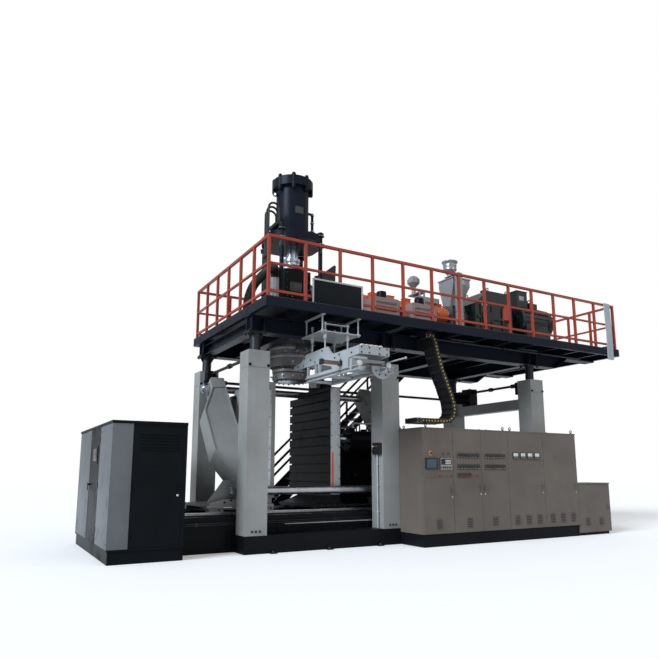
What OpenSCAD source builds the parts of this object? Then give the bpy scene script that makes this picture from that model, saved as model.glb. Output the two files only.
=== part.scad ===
// Accumulator head blow moulding machine with a lifting extruder platform.
// Millimetres. The origin is the point on the floor under the head's axis.
// +X runs along the platform towards the extruder drive, -Y is the operator's side.

/* [Posts] */
// Width of a post along the machine
post_w = 410; // [360:10:480]
// Depth of a post across the machine
post_d = 400; // [360:10:460]
// Wall of the post tube
post_wall = 20; // [12:1:30]
// Height of the base beams that carry the posts
base_h = 300; // [220:10:360]
// Height of the post tops above the floor
post_top = 3500; // [3400:10:3560]
// Height of the bolted cap sleeve at a post's top
cap_h = 310; // [280:5:360]
// Centre of the left pair of posts along the machine
post_x_left = -1305; // [-1400:5:-1250]
// Distance from the left pair of posts to the middle pair
post_pitch_mid = 2830; // [2750:10:2900]
// Distance from the middle pair of posts to the right pair
post_pitch_right = 4180; // [4000:10:4300]
// Centre line of the front row of posts
front_row = -1220; // [-1260:5:-1200]
// Centre line of the rear row of posts
rear_row = 1500; // [1490:5:1540]

/* [Platform] */
// Length of the deck
deck_l = 9400; // [9000:50:9600]
// Left edge of the deck
deck_x = -1480; // [-1500:5:-1470]
// Front edge of the deck
deck_front = -2080; // [-2140:10:-2060]
// Rear edge of the deck
deck_rear = 1960; // [1900:10:1990]
// Walking height of the deck
deck_top = 4320; // [4250:10:4400]
// Thickness of the deck plate
deck_t = 10; // [6:1:16]
// Depth of the deck joists
joist_h = 160; // [140:5:200]
// Depth of the main girders
girder_h = 300; // [240:10:320]
// Flange width of the main girders
girder_w = 280; // [220:10:300]
// Square opening in the deck for the head
head_opening = 720; // [680:10:760]
// Diameter of the jack columns
jack_d = 190; // [160:5:210]
// Height of the guard rail
rail_h = 1120; // [1000:10:1200]
// Side of the guard rail's square tube
rail_tube = 50; // [40:2:60]
// Number of bays in the front guard rail
rail_bays = 13; // [10:1:16]
// Number of bays in the end guard rails
rail_end_bays = 6; // [4:1:8]

/* [Head] */
// Diameter of the press cylinder
press_d = 700; // [620:10:760]
// Length of the press cylinder's tube
press_l = 1100; // [900:10:1200]
// Diameter of the flange plate under the press cylinder
flange_d = 1300; // [1200:10:1400]
// Underside of the flange plate above the floor
flange_z = 6130; // [6000:10:6300]
// Thickness of the flange plate
flange_t = 170; // [120:5:200]
// Diameter of the piston rod
rod_d = 260; // [200:5:300]
// Diameter of the tie rods that hold the flange plate
tie_rod_d = 90; // [70:2:110]
// Side of the square head block
block_w = 600; // [540:10:640]
// Diameter of the accumulator head
head_d = 890; // [860:10:940]
// Lowest point of the die above the floor
die_z = 3200; // [3180:5:3240]
// Diameter of the die ring
die_d = 740; // [720:10:780]
// Diameter of the die opening
die_bore = 560; // [500:10:600]
// Width of the ring gap round the die pin
die_gap = 12; // [6:1:20]

/* [Extruder] */
// Height of the screw's axis above the floor
screw_z = 5150; // [5050:10:5250]
// Outside diameter of the barrel
barrel_d = 300; // [260:5:340]
// Diameter of the screw
screw_d = 150; // [120:5:170]
// Length of the barrel from the head block
barrel_l = 3950; // [3800:10:4000]
// Diameter over the heater bands
heater_d = 380; // [360:5:400]
// Side of the square feed hopper
hopper_w = 540; // [500:10:600]
// Height of the feed hopper's rim above the floor
hopper_top = 6120; // [6050:10:6160]
// Width of the reduction gearbox across the platform
gearbox_w = 900; // [760:10:1000]
// Diameter of the drive motor
motor_d = 880; // [760:10:940]
// Length of the drive motor
motor_l = 1150; // [1000:10:1200]

/* [Clamp] */
// Length of the clamp bed
bed_l = 5710; // [5660:10:5800]
// Width of the clamp bed
bed_w = 1920; // [1860:10:1960]
// Height of the clamp bed
bed_h = 600; // [560:10:620]
// Spacing of the two guide rails
rail_gauge = 1240; // [1180:10:1280]
// Height of a guide rail
guide_h = 60; // [50:2:70]
// Width of a guide rail
guide_w = 80; // [60:2:90]
// Distance between the platens' mould faces
daylight = 1200; // [1160:10:1260]
// Middle between the mould faces along the machine
mould_mid = -50; // [-60:5:0]
// Thickness of a platen
platen_t = 240; // [200:10:260]
// Width of a platen across the machine
platen_w = 1830; // [1700:10:1840]
// Front edge of the platens
platen_front = -700; // [-705:5:-680]
// Top of the platens above the floor
platen_top = 3060; // [3000:10:3090]
// Bottom of the platens above the floor
platen_bottom = 900; // [880:10:940]
// Diameter of the tie bars
bar_d = 150; // [130:5:160]
// Lower tie bar's place across the machine
bar_low_y = -780; // [-790:5:-770]
// Lower tie bar's height above the floor
bar_low_z = 1025; // [1010:5:1050]
// Upper tie bar's place across the machine
bar_high_y = 980; // [975:5:1000]
// Upper tie bar's height above the floor
bar_high_z = 3080; // [3070:5:3100]
// Depth of a clamp arm at its middle
arm_deep = 600; // [480:10:620]
// Depth of a clamp arm at its ends
arm_end = 310; // [260:10:340]
// Width of a clamp arm
arm_w = 380; // [340:10:390]
// Gap between the left platen's back and its arm
arm_gap = 220; // [200:10:300]
// Distance between the inner faces of the two arms
arm_span = 3400; // [3360:10:3500]
// Diameter of the clamp cylinder
ram_d = 400; // [360:10:420]

/* [Cabinets] */
// Left end of the control cabinets
control_x = 1700; // [1690:5:1760]
// Length of the three narrow control cabinets together
control_l1 = 2200; // [2100:10:2300]
// Length of the two wide control cabinets together
control_l2 = 2080; // [2000:10:2200]
// Front of the control cabinets
control_front = -2160; // [-2200:10:-2140]
// Height of the control cabinets
control_h = 2200; // [2100:10:2240]
// Height of the cabinets' plinth
plinth_h = 230; // [180:10:260]
// Sheet thickness of the cabinets
sheet_t = 20; // [12:1:30]
// Length of the auxiliary cabinet
aux_l = 1060; // [900:10:1200]
// Height of the auxiliary cabinet
aux_h = 1100; // [1000:10:1200]
// Length of the power cabinet
power_l = 1160; // [1100:10:1200]
// Front of the power cabinet
power_front = -1510; // [-1560:10:-1480]
// Depth of the power cabinet
power_w = 3310; // [3200:10:3400]
// Height of the power cabinet
power_h = 2150; // [2100:10:2200]
// Height of the power cabinet's plinth
power_plinth = 190; // [160:5:220]

/* [Fits] */
// Gap between pieces that move past each other
gap = 0.3; // [0.2:0.05:0.6]
// Radial clearance of a running fit
run = 0.1; // [0.05:0.01:0.1]

/* [Hidden] */
$fn = 48;

black = [0.07, 0.07, 0.08];
navy = [0.10, 0.12, 0.16];
post_grey = [0.62, 0.63, 0.62];
cabinet_grey = [0.60, 0.57, 0.53];
orange = [0.72, 0.27, 0.16];
steel = [0.55, 0.56, 0.57];

post_x_mid = post_x_left + post_pitch_mid;
post_x_right = post_x_mid + post_pitch_right;
post_xs = [post_x_left, post_x_mid, post_x_right];
tube_top = post_top - cap_h;
deck_end = deck_x + deck_l;
plate_z = deck_top - deck_t;
joist_z = plate_z - joist_h;
girder_z = joist_z - girder_h;
bed_x = -2560;
bed_end = bed_x + bed_l;
carriage_z = bed_h + guide_h;
platen_rear = platen_front + platen_w;
left_face = mould_mid - daylight / 2;
right_face = mould_mid + daylight / 2;
left_back = left_face - platen_t;
right_back = right_face + platen_t;
arm_left_x = left_back - arm_gap;
arm_right_x = arm_left_x + arm_span;
bar_run = sqrt(pow(bar_high_y - bar_low_y, 2) + pow(bar_high_z - bar_low_z, 2));
bar_slope = atan2(bar_high_z - bar_low_z, bar_high_y - bar_low_y);
ram_y = (bar_low_y + bar_high_y) / 2;
ram_z = (bar_low_z + bar_high_z) / 2;
control_l = control_l1 + control_l2;
control_end = control_x + control_l;
control_back = front_row - post_d / 2 - 14;
door_t = 30;

module block(x0, x1, y0, y1, z0, z1) {
  translate([x0, y0, z0])
    cube([x1 - x0, y1 - y0, z1 - z0]);
}

// Round bars
module rod_x(x0, x1, y, z, d) {
  translate([x0, y, z])
    rotate([0, 90, 0])
      cylinder(h = x1 - x0, d = d);
}

module rod_y(x, y0, y1, z, d) {
  translate([x, y1, z])
    rotate([90, 0, 0])
      cylinder(h = y1 - y0, d = d);
}

module rod_z(x, y, z0, z1, d) {
  translate([x, y, z0])
    cylinder(h = z1 - z0, d = d);
}

// Hexagon head or nut
module hexagon(x, y, z0, z1, across) {
  translate([x, y, z0])
    cylinder(h = z1 - z0, d = across / cos(30), $fn = 6);
}

// I section, w wide and h deep, standing on its lower flange
module i_outline(w, h, web, flange) {
  polygon([
    [-w / 2, 0], [w / 2, 0], [w / 2, flange], [web / 2, flange],
    [web / 2, h - flange], [w / 2, h - flange], [w / 2, h], [-w / 2, h],
    [-w / 2, h - flange], [-web / 2, h - flange], [-web / 2, flange], [-w / 2, flange]
  ]);
}

// Channel section, w wide and h deep, open towards +X
module c_outline(w, h, t) {
  polygon([
    [0, 0], [w, 0], [w, t], [t, t], [t, h - t], [w, h - t], [w, h], [0, h]
  ]);
}

// Outline drawn in Y and Z, extruded along X
module along_x(x0, x1) {
  translate([x0, 0, 0])
    rotate([90, 0, 90])
      linear_extrude(height = x1 - x0)
        children();
}

// Outline drawn in X and Z, extruded along Y
module along_y(y0, y1) {
  translate([0, y1, 0])
    rotate([90, 0, 0])
      linear_extrude(height = y1 - y0)
        children();
}

// Clamp bed: side girders joined by cross ribs, open pockets between them
module clamp_bed() {
  side = 340;
  rib = 60;
  bays = 6;
  bay = bed_l / bays;
  panel = 25;
  color(black)
    difference() {
      union() {
        block(bed_x, bed_end, -bed_w / 2, bed_w / 2, 0, bed_h);
        block(bed_x + 40, bed_end - 40, -bed_w / 2 - 12, -bed_w / 2, 400, 430);
      }
      for (i = [0:bays - 1]) {
        x0 = bed_x + i * bay + rib / 2;
        x1 = x0 + bay - rib;
        block(x0, x1, -bed_w / 2 + side, bed_w / 2 - side, 40, bed_h + 1);
        block(x0, x1, -bed_w / 2 - 1, -bed_w / 2 + panel, 60, 370);
        block(x0, x1, bed_w / 2 - panel, bed_w / 2 + 1, 340, 540);
      }
    }
}

// Two guide rails with waisted sides
module bed_rails() {
  waist = 12;
  color(steel)
    for (side = [-1, 1])
      translate([0, side * rail_gauge / 2, bed_h])
        along_x(bed_x + 120, bed_end - 60)
          polygon([
            [-guide_w / 2, 0], [guide_w / 2, 0], [guide_w / 2, guide_h * 0.25],
            [guide_w / 2 - waist, guide_h * 0.4], [guide_w / 2 - waist, guide_h * 0.6],
            [guide_w / 2, guide_h * 0.75], [guide_w / 2, guide_h], [-guide_w / 2, guide_h],
            [-guide_w / 2, guide_h * 0.75], [-guide_w / 2 + waist, guide_h * 0.6],
            [-guide_w / 2 + waist, guide_h * 0.4], [-guide_w / 2, guide_h * 0.25]
          ]);
}

// Base beams: two along the bed and one across under the right pair of posts
module post_base_beams() {
  toe = 120;
  color(black) {
    block(post_x_left - post_w / 2, post_x_mid + post_w / 2 + toe, front_row - post_d / 2, -bed_w / 2,
      0, base_h);
    block(post_x_left - post_w / 2, post_x_mid + post_w / 2 + toe, bed_w / 2, rear_row + post_d / 2,
      0, base_h);
    block(post_x_right - post_w / 2, post_x_right + post_w / 2, front_row - post_d / 2,
      rear_row + post_d / 2, 0, base_h);
  }
}

// Hollow box post with a row of foot bolts on its front
module post(x, y) {
  difference() {
    block(x - post_w / 2, x + post_w / 2, y - post_d / 2, y + post_d / 2, base_h, tube_top);
    block(x - post_w / 2 + post_wall, x + post_w / 2 - post_wall, y - post_d / 2 + post_wall,
      y + post_d / 2 - post_wall, base_h + post_wall, tube_top + 1);
  }
  for (i = [-1:1])
    rod_y(x + i * 70, y - post_d / 2 - 10, y - post_d / 2, base_h + 70, 24);
}

module front_posts() {
  color(post_grey)
    for (x = post_xs)
      post(x, front_row);
}

module rear_posts() {
  color(post_grey)
    for (x = post_xs)
      post(x, rear_row);
}

// Cap sleeve with the bore that guides a jack column
module post_cap(x, y) {
  groove = 6;
  difference() {
    union() {
      block(x - post_w / 2, x + post_w / 2, y - post_d / 2, y + post_d / 2, tube_top + groove, post_top);
      block(x - post_w / 2 + groove, x + post_w / 2 - groove, y - post_d / 2 + groove,
        y + post_d / 2 - groove, tube_top, tube_top + groove + 1);
      for (i = [-1, 1])
        rod_y(x + i * (post_w / 2 - 30), y - post_d / 2 - 12, y + post_d / 2 + 12, tube_top + 40, 30);
    }
    rod_z(x, y, tube_top - 1, post_top + 1, jack_d + 2 * run);
  }
}

module post_caps() {
  color(post_grey)
    for (x = post_xs)
      for (y = [front_row, rear_row])
        post_cap(x, y);
}

// Switch box on the inner side of the middle front post
module switch_box() {
  x1 = post_x_mid - post_w / 2;
  color([0.2, 0.22, 0.24])
    difference() {
      block(x1 - 70, x1, front_row - 170, front_row + 70, 1700, 1930);
      block(x1 - 71, x1 - 64, front_row - 150, front_row + 50, 1720, 1910);
    }
}

shaft_d = 60;
gearbox_h = post_top - tube_top - 20;
gearbox_side = 180;
shaft_z = post_top - 70;
cross_shaft_z = post_top - 240;
front_box_y = front_row + post_d / 2 + gearbox_side / 2;
rear_box_y = rear_row - post_d / 2 - gearbox_side / 2;

// Bevel gearbox of one jack, with a bore across and, in the rear row, a bore along the machine
module bevel_gearbox(x, y, rear) {
  half = gearbox_side / 2;
  difference() {
    union() {
      block(x - half - 10, x + half + 10, y - half, y + half, tube_top + 10, tube_top + 10 + gearbox_h);
      rod_x(x - half - 30, x + half + 30, y, cross_shaft_z, 130);
      rod_y(x, rear ? y - half - 20 : y, rear ? y : y + half + 20, shaft_z, 120);
    }
    rod_y(x, y - half - (rear ? 30 : -40), y + half + (rear ? -40 : 30), shaft_z, shaft_d + 2 * run);
    if (rear)
      rod_x(x - half - 40, x + half + 40, y, cross_shaft_z, shaft_d + 2 * run);
  }
}

// Gearboxes of the six jacks and the geared motor that turns them all
module lift_gearboxes() {
  motor_z = tube_top + 50;
  drive_y = rear_box_y - 360;
  color(black) {
    for (x = post_xs) {
      bevel_gearbox(x, front_box_y, false);
      bevel_gearbox(x, rear_box_y, true);
    }
    difference() {
      union() {
        block(post_x_right - 130, post_x_right + 130, drive_y - 150, drive_y + 150, beam_top,
          post_top + 20);
        rod_x(post_x_right - 640, post_x_right - 130, drive_y, motor_z, 230);
        rod_x(post_x_right - 700, post_x_right - 640, drive_y, motor_z, 250);
        rod_x(post_x_right - 190, post_x_right - 130, drive_y, motor_z, 290);
        block(post_x_right - 480, post_x_right - 320, drive_y - 70, drive_y + 70, motor_z, motor_z + 170);
      }
      rod_y(post_x_right, drive_y - 151, drive_y + 151, shaft_z, shaft_d + 2 * run);
    }
  }
}

beam_h = 240;
beam_top = tube_top - 110;

// Box beam across the right pair of posts
module end_crossbeam() {
  color(post_grey)
    along_y(front_row + post_d / 2, rear_row - post_d / 2)
      difference() {
        translate([post_x_right - 100, beam_top - beam_h])
          square([200, beam_h]);
        translate([post_x_right - 100 + 16, beam_top - beam_h + 16])
          square([200 - 32, beam_h - 32]);
      }
}

// Shaft between the front and the rear gearbox of one pair of posts
module cross_shaft(x) {
  inset = gearbox_side / 2 - 50;
  y0 = front_box_y + inset;
  y1 = rear_box_y - inset;
  color(black) {
    rod_y(x, y0, y1, shaft_z, shaft_d);
    for (y = [y0 + 150, y0 + 900])
      rod_y(x, y, y + 100, shaft_z, 100);
  }
}

module lift_shaft_left() {
  cross_shaft(post_x_left);
}

module lift_shaft_mid() {
  cross_shaft(post_x_mid);
}

module lift_shaft_right() {
  cross_shaft(post_x_right);
}

// Line shaft along the rear row
module lift_shaft_rear() {
  x0 = post_x_left - 60;
  x1 = post_x_right + 60;
  color(black) {
    rod_x(x0, x1, rear_box_y, cross_shaft_z, shaft_d);
    for (x = [post_x_left + 260, post_x_mid - 360, post_x_mid + 260, post_x_right - 360])
      rod_x(x, x + 100, rear_box_y, cross_shaft_z, 100);
  }
}

unit_x = 1500;
unit_l = 1400;
unit_y = 700;
unit_w = 480;
unit_top = 2260;

// Hydraulic unit: tank with a lid, seams and filler caps
module hydraulic_unit() {
  lid = 70;
  color([0.12, 0.13, 0.14])
    difference() {
      union() {
        block(unit_x + 15, unit_x + unit_l - 15, unit_y + 15, unit_y + unit_w - 15, bed_h, unit_top - lid);
        block(unit_x, unit_x + unit_l, unit_y, unit_y + unit_w, unit_top - lid + 25, unit_top);
        block(unit_x + 40, unit_x + unit_l - 40, unit_y + 40, unit_y + unit_w - 40, unit_top - lid - 1,
          unit_top - lid + 26);
        for (x = [unit_x + 300, unit_x + 900])
          rod_z(x, unit_y + unit_w / 2, unit_top - 1, unit_top + 60, 120);
      }
      for (x = [unit_x + 50, unit_x + 500, unit_x + 950])
        block(x, x + 400, unit_y + 14, unit_y + 22, bed_h + 80, unit_top - lid - 60);
    }
}

arm_over = 100;
arm_over_top = 160;
shoe_w = 130;
cone_d = 460;

// Side of a clamp arm: x runs along the machine, y along the line between the tie bars
module arm_outline(side) {
  deep = side * arm_deep;
  shallow = side * arm_end;
  polygon([
    [0, -arm_over], [0, bar_run + arm_over_top], [side * (arm_end - 50), bar_run + arm_over_top],
    [shallow, bar_run + arm_over_top - 50], [shallow, bar_run - 140], [deep, bar_run * 0.70],
    [deep, bar_run * 0.30], [shallow, 140], [shallow, -arm_over]
  ]);
}

// Places an arm in the slanting plane through both tie bars
module on_bars(x) {
  translate([x, bar_low_y, bar_low_z])
    rotate([bar_slope, 0, 0])
      children();
}

// Arm with proud flanges, bored for the bars; side -1 is left, 1 is right
module clamp_arm(x, side) {
  flange = 26;
  recess = 18;
  difference() {
    union() {
      on_bars(x)
        difference() {
          translate([0, 0, -arm_w / 2])
            linear_extrude(height = arm_w)
              arm_outline(side);
          for (z = [-arm_w / 2 - 1, arm_w / 2 - recess])
            translate([0, 0, z])
              linear_extrude(height = recess + 1)
                polygon([
                  [side * flange, 120], [side * flange, bar_run - 120],
                  [side * (arm_end - flange), bar_run - 150],
                  [side * (arm_deep - flange), bar_run * 0.70 - 10],
                  [side * (arm_deep - flange), bar_run * 0.30 + 10],
                  [side * (arm_end - flange), 150]
                ]);
        }
      rod_x(min(x, x + side * 40), max(x, x + side * 40), bar_low_y, bar_low_z, arm_w * 0.62);
    }
    rod_x(x - arm_deep - 1, x + arm_deep + 1, bar_low_y, bar_low_z, bar_d + 2 * gap);
    rod_x(x - arm_deep - 1, x + arm_deep + 1, bar_high_y, bar_high_z, bar_d + 2 * gap);
  }
}

// Shoe that slides on a guide rail
module rail_shoe(x0, x1, y, top) {
  block(x0, x1, y - shoe_w / 2, y + shoe_w / 2, carriage_z + gap, top);
}

// Platen with level T-slots, pockets in its back and a corner cut for the upper bar
module platen(x0, face) {
  inward = face > x0 + platen_t / 2 ? -1 : 1;
  back = face + inward * platen_t;
  y0 = platen_front;
  y1 = platen_rear;
  rows = 12;
  pitch = (platen_top - platen_bottom) / rows;
  slot_w = 28;
  slot_wide = 52;
  pocket = 90;
  difference() {
    block(x0, x0 + platen_t, y0, y1, platen_bottom, platen_top);
    for (i = [0:rows - 1]) {
      z = platen_bottom + (i + 0.5) * pitch;
      block(face - 30, face + 30, y0 + 60, y1 + 1, z - slot_w / 2, z + slot_w / 2);
      translate([face + inward * 41, y0 + 60 + platen_w / 2, z])
        cube([26, platen_w, slot_wide], center = true);
    }
    block(x0 - 1, x0 + platen_t + 1, bar_high_y - 120, y1 + 1, bar_high_z - 120, platen_top + 1);
    for (y = [y0 + 90, y1 - 90 - 330])
      for (z = [platen_bottom + 120, platen_top - 120 - 600])
        block(back - pocket, back + pocket, y, y + 330, z, z + 600);
  }
}

// Left platen on its carriage, with the thrust cone to the arm
module left_platen() {
  y0 = platen_front;
  plate_x = -1950;
  color(post_grey) {
    platen(left_back, left_face);
    block(plate_x, left_face - 20, -rail_gauge / 2 - 130, rail_gauge / 2 + 130, carriage_z + 85,
      carriage_z + 125);
    block(left_back + 20, left_face - 20, y0 + 60, rail_gauge / 2 + 130, carriage_z + 124,
      platen_bottom + 1);
    for (y = [-rail_gauge / 2, rail_gauge / 2])
      for (x = [plate_x + 30, left_back - 60])
        rail_shoe(x, x + 300, y, carriage_z + 86);
    for (y = [y0 + 90, rail_gauge / 2 + 40])
      along_y(y, y + 40)
        polygon([
          [left_back + 1, carriage_z + 124], [left_back + 1, 1500], [left_back - 90, 1350],
          [left_back - 190, carriage_z + 124]
        ]);
    difference() {
      union() {
        rod_x(arm_left_x + gap, left_back + 1, ram_y, ram_z, cone_d);
        rod_x(left_back - 60, left_back + 1, ram_y, ram_z, cone_d + 180);
        rod_x(arm_left_x + gap, arm_left_x + 45, ram_y, ram_z, cone_d + 60);
      }
      rod_x(arm_left_x - 1, left_back - 80, ram_y, ram_z, 200);
    }
  }
}

module left_arm() {
  foot_x = -1900;
  color(post_grey) {
    clamp_arm(arm_left_x, -1);
    for (side = [0, 1]) {
      y = bar_low_y + 50 + side * 110;
      peak = side == 1 ? 1220 : 890;
      along_y(y, y + 40)
        polygon([
          [arm_left_x - 10, carriage_z + 125], [arm_left_x - 10, bar_low_z - 60],
          [arm_left_x - arm_end + 20, peak], [arm_left_x - arm_end - 190, peak],
          [foot_x, carriage_z + 165], [foot_x, carriage_z + 125]
        ]);
    }
  }
}

// Nut with a washer at the end of a tie bar
module bar_nut(x0, x1, y, z) {
  translate([x0, y, z])
    rotate([0, 90, 0])
      cylinder(h = x1 - x0, d = 235, $fn = 6);
}

// Two tie bars with their nuts outside both arms
module tie_bars() {
  left_out = arm_left_x - arm_end;
  right_out = arm_right_x + arm_end;
  nut = 95;
  color([0.35, 0.36, 0.37])
    for (bar = [[bar_low_y, bar_low_z], [bar_high_y, bar_high_z]]) {
      rod_x(left_out - nut - 60, right_out + nut + 60, bar[0], bar[1], bar_d);
      rod_x(left_out - 20 - gap, left_out - gap, bar[0], bar[1], 250);
      bar_nut(left_out - nut - 21, left_out - 19, bar[0], bar[1]);
      rod_x(right_out + gap, right_out + 20 + gap, bar[0], bar[1], 250);
      bar_nut(right_out + 19, right_out + nut + 21, bar[0], bar[1]);
    }
}

// Right arm with the housing of the clamp cylinder and its own carriage
module right_arm() {
  housing = ram_d + 160;
  color(post_grey)
    difference() {
      union() {
        clamp_arm(arm_right_x, 1);
        rod_x(arm_right_x + 15, arm_right_x + arm_deep + 30, ram_y, ram_z, housing);
        block(arm_right_x + 20, arm_right_x + 520, -rail_gauge / 2 - 130, rail_gauge / 2 + 60,
          carriage_z + 85, carriage_z + 125);
        for (y = [-rail_gauge / 2, rail_gauge / 2 - 10])
          rail_shoe(arm_right_x + 40, arm_right_x + 500, y, carriage_z + 86);
        for (y = [bar_low_y + 60, bar_low_y + 200])
          block(arm_right_x + 20, arm_right_x + arm_end - 20, y, y + 40, carriage_z + 124,
            bar_low_z - 60);
        along_y(ram_y - 20, ram_y + 20)
          polygon([
            [arm_right_x + 40, carriage_z + 124], [arm_right_x + 500, carriage_z + 124],
            [arm_right_x + 420, ram_z - 240], [arm_right_x + 120, ram_z - 240]
          ]);
      }
      rod_x(arm_right_x - 1, arm_right_x + arm_deep + 31, ram_y, ram_z, ram_d + 2 * gap);
    }
}

ram_x = arm_right_x - 870;
ram_end = arm_right_x + arm_deep + 170;
ram_rod = 220;
ram_piston = 330;

// Clamp cylinder: flanged tube that passes through the right arm
module clamp_cylinder() {
  color(black)
    difference() {
      union() {
        rod_x(ram_x + 60, ram_end, ram_y, ram_z, ram_d);
        rod_x(ram_x, ram_x + 61, ram_y, ram_z, ram_d + 80);
        rod_x(arm_right_x - 70 - gap, arm_right_x - gap, ram_y, ram_z, ram_d + 180);
        rod_x(ram_end - 1, ram_end + 50, ram_y, ram_z, ram_d + 60);
        rod_z(ram_x + 150, ram_y, ram_z + ram_d / 2 - 30, ram_z + ram_d / 2 + 60, 110);
      }
      rod_x(ram_x + 90, ram_end - 30, ram_y, ram_z, ram_piston + 2 * run);
      rod_x(ram_x - 1, ram_x + 91, ram_y, ram_z, ram_rod + 2 * run);
    }
}

// Right platen with its foot: shoes, base block and a tapered web
module right_platen() {
  y0 = platen_front;
  base_x0 = 120;
  base_x1 = 850;
  color(black) {
    platen(right_face, right_face);
    for (y = [-rail_gauge / 2, rail_gauge / 2])
      for (x = [base_x0 + 60, base_x1 - 200])
        rail_shoe(x, x + 140, y, carriage_z + 31);
    block(base_x0, base_x1, -rail_gauge / 2 - 90, rail_gauge / 2 + 90, carriage_z + 30, carriage_z + 95);
    along_y(y0 + 40, rail_gauge / 2 + 60)
      polygon([
        [base_x0 + 60, carriage_z + 94], [base_x1 - 20, carriage_z + 94], [right_back - 5, platen_bottom + 1],
        [right_face + 5, platen_bottom + 1], [right_face - 140, platen_bottom - 60]
      ]);
    rod_x(right_back - 1, right_back + 60, ram_y, ram_z, 420);
  }
}

// Clamp piston with its rod, screwed to the right platen
module clamp_piston() {
  x1 = right_back + 1500;
  color(steel) {
    rod_x(right_back + 60 + gap, x1, ram_y, ram_z, ram_rod);
    rod_x(right_back + 60 + gap, right_back + 95, ram_y, ram_z, 330);
    rod_x(x1 - 120, x1, ram_y, ram_z, ram_piston);
  }
}

taper_x0 = deck_end - 1420;
taper_x1 = deck_end - 1020;
taper_z = joist_z - 30;

// Main girder: I section whose underside rises at the drive end
module main_girder(y) {
  web = 14;
  flange = 18;
  color(navy) {
    along_y(y - web / 2, y + web / 2)
      polygon([
        [deck_x, girder_z + flange - 1], [taper_x0, girder_z + flange - 1], [taper_x1, taper_z + flange - 1],
        [deck_end, taper_z + flange - 1], [deck_end, joist_z - flange + 1], [deck_x, joist_z - flange + 1]
      ]);
    along_y(y - girder_w / 2, y + girder_w / 2)
      polygon([
        [deck_x, girder_z], [taper_x0, girder_z], [taper_x1, taper_z - 6], [deck_end, taper_z - 6],
        [deck_end, taper_z + 6], [taper_x1 - 4, taper_z + 6], [taper_x0 - 4, girder_z + flange],
        [deck_x, girder_z + flange]
      ]);
    block(deck_x, deck_end, y - girder_w / 2, y + girder_w / 2, joist_z - flange, joist_z);
    for (x = [post_x_left - 120, post_x_left + 120, post_x_mid - 120, post_x_mid + 120,
        post_x_right - 120, post_x_right + 120])
      block(x - 8, x + 8, y - girder_w / 2 + 4, y + girder_w / 2 - 4, girder_z + flange - 1,
        joist_z - flange + 1);
  }
}

head_beam_x = 600;
head_beam_h = 210;

// Two main girders with cross beams over the posts and beside the head
module main_girders() {
  main_girder(front_row);
  main_girder(rear_row);
  color(navy)
    for (x = [post_x_left, -head_beam_x, head_beam_x, post_x_mid, 3600, post_x_right])
      along_y(front_row + 6, rear_row - 6)
        translate([x, girder_z + 17])
          i_outline(200, head_beam_h, 12, 16);
}

joist_pitch = deck_l / rail_bays;
header_y = 560;
edge_w = 75;

// Joists, edge channels and the headers round the head opening
module deck_frame() {
  color(navy) {
    along_x(deck_x, deck_end) {
      translate([deck_front, joist_z])
        c_outline(edge_w, joist_h, 9);
      translate([deck_rear, joist_z])
        mirror([1, 0])
          c_outline(edge_w, joist_h, 9);
    }
    along_y(deck_front + 8, deck_rear - 8) {
      translate([deck_x, joist_z])
        c_outline(edge_w, joist_h, 9);
      translate([deck_end, joist_z])
        mirror([1, 0])
          c_outline(edge_w, joist_h, 9);
    }
    for (i = [1:rail_bays - 1]) {
      x = deck_x + i * joist_pitch;
      along_y(deck_front + 8, i == 2 ? -header_y : deck_rear - 8)
        translate([x, joist_z])
          c_outline(60, joist_h, 8);
      if (i == 2)
        along_y(header_y, deck_rear - 8)
          translate([x, joist_z])
            c_outline(60, joist_h, 8);
    }
    along_x(deck_x + joist_pitch + 7, deck_x + 3 * joist_pitch + 1) {
      translate([header_y, joist_z])
        c_outline(60, joist_h, 8);
      translate([-header_y, joist_z])
        mirror([1, 0])
          c_outline(60, joist_h, 8);
    }
  }
}

module deck_plate() {
  half = head_opening / 2;
  color(navy)
    difference() {
      block(deck_x, deck_end, deck_front, deck_rear, plate_z, deck_top);
      block(-half, half, -half, half, plate_z - 1, deck_top + 1);
    }
}

column_low = 2700;

// Jack columns that slide in the post caps, with a flange under each girder
module jack_columns() {
  color([0.42, 0.42, 0.42])
    for (x = post_xs)
      for (y = [front_row, rear_row]) {
        rod_z(x, y, column_low, girder_z - 19, jack_d);
        block(x - 180, x + 180, y - 135, y + 135, girder_z - 20, girder_z);
        for (side = [-1, 1])
          along_y(y - 8, y + 8)
            polygon([
              [x + side * (jack_d / 2 - 4), girder_z - 19], [x + side * 160, girder_z - 19],
              [x + side * (jack_d / 2 - 4), girder_z - 140]
            ]);
      }
}

// Straight run of guard rail along X: posts on foot plates, three rails
module rail_x(x0, x1, y, bays) {
  half = rail_tube / 2;
  z = deck_top + rail_h;
  pitch = (x1 - x0) / bays;
  block(x0 - half, x1 + half, y - half, y + half, z - rail_tube, z);
  block(x0, x1, y - half + 5, y + half - 5, deck_top + rail_h * 0.52, deck_top + rail_h * 0.52 + 40);
  block(x0, x1, y - half + 8, y + half - 8, deck_top + 90, deck_top + 135);
  for (i = [0:bays]) {
    block(x0 + i * pitch - half, x0 + i * pitch + half, y - half, y + half, deck_top + 7, z - rail_tube + 1);
    block(x0 + i * pitch - 55, x0 + i * pitch + 55, y - 34, y + 34, deck_top, deck_top + 8);
  }
}

// The same run along Y
module rail_y(x, y0, y1, bays) {
  translate([x, y0, 0])
    rotate([0, 0, 90])
      rail_x(0, y1 - y0, 0, bays);
}

landing_x0 = 4680;
landing_x1 = 5400;

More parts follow.
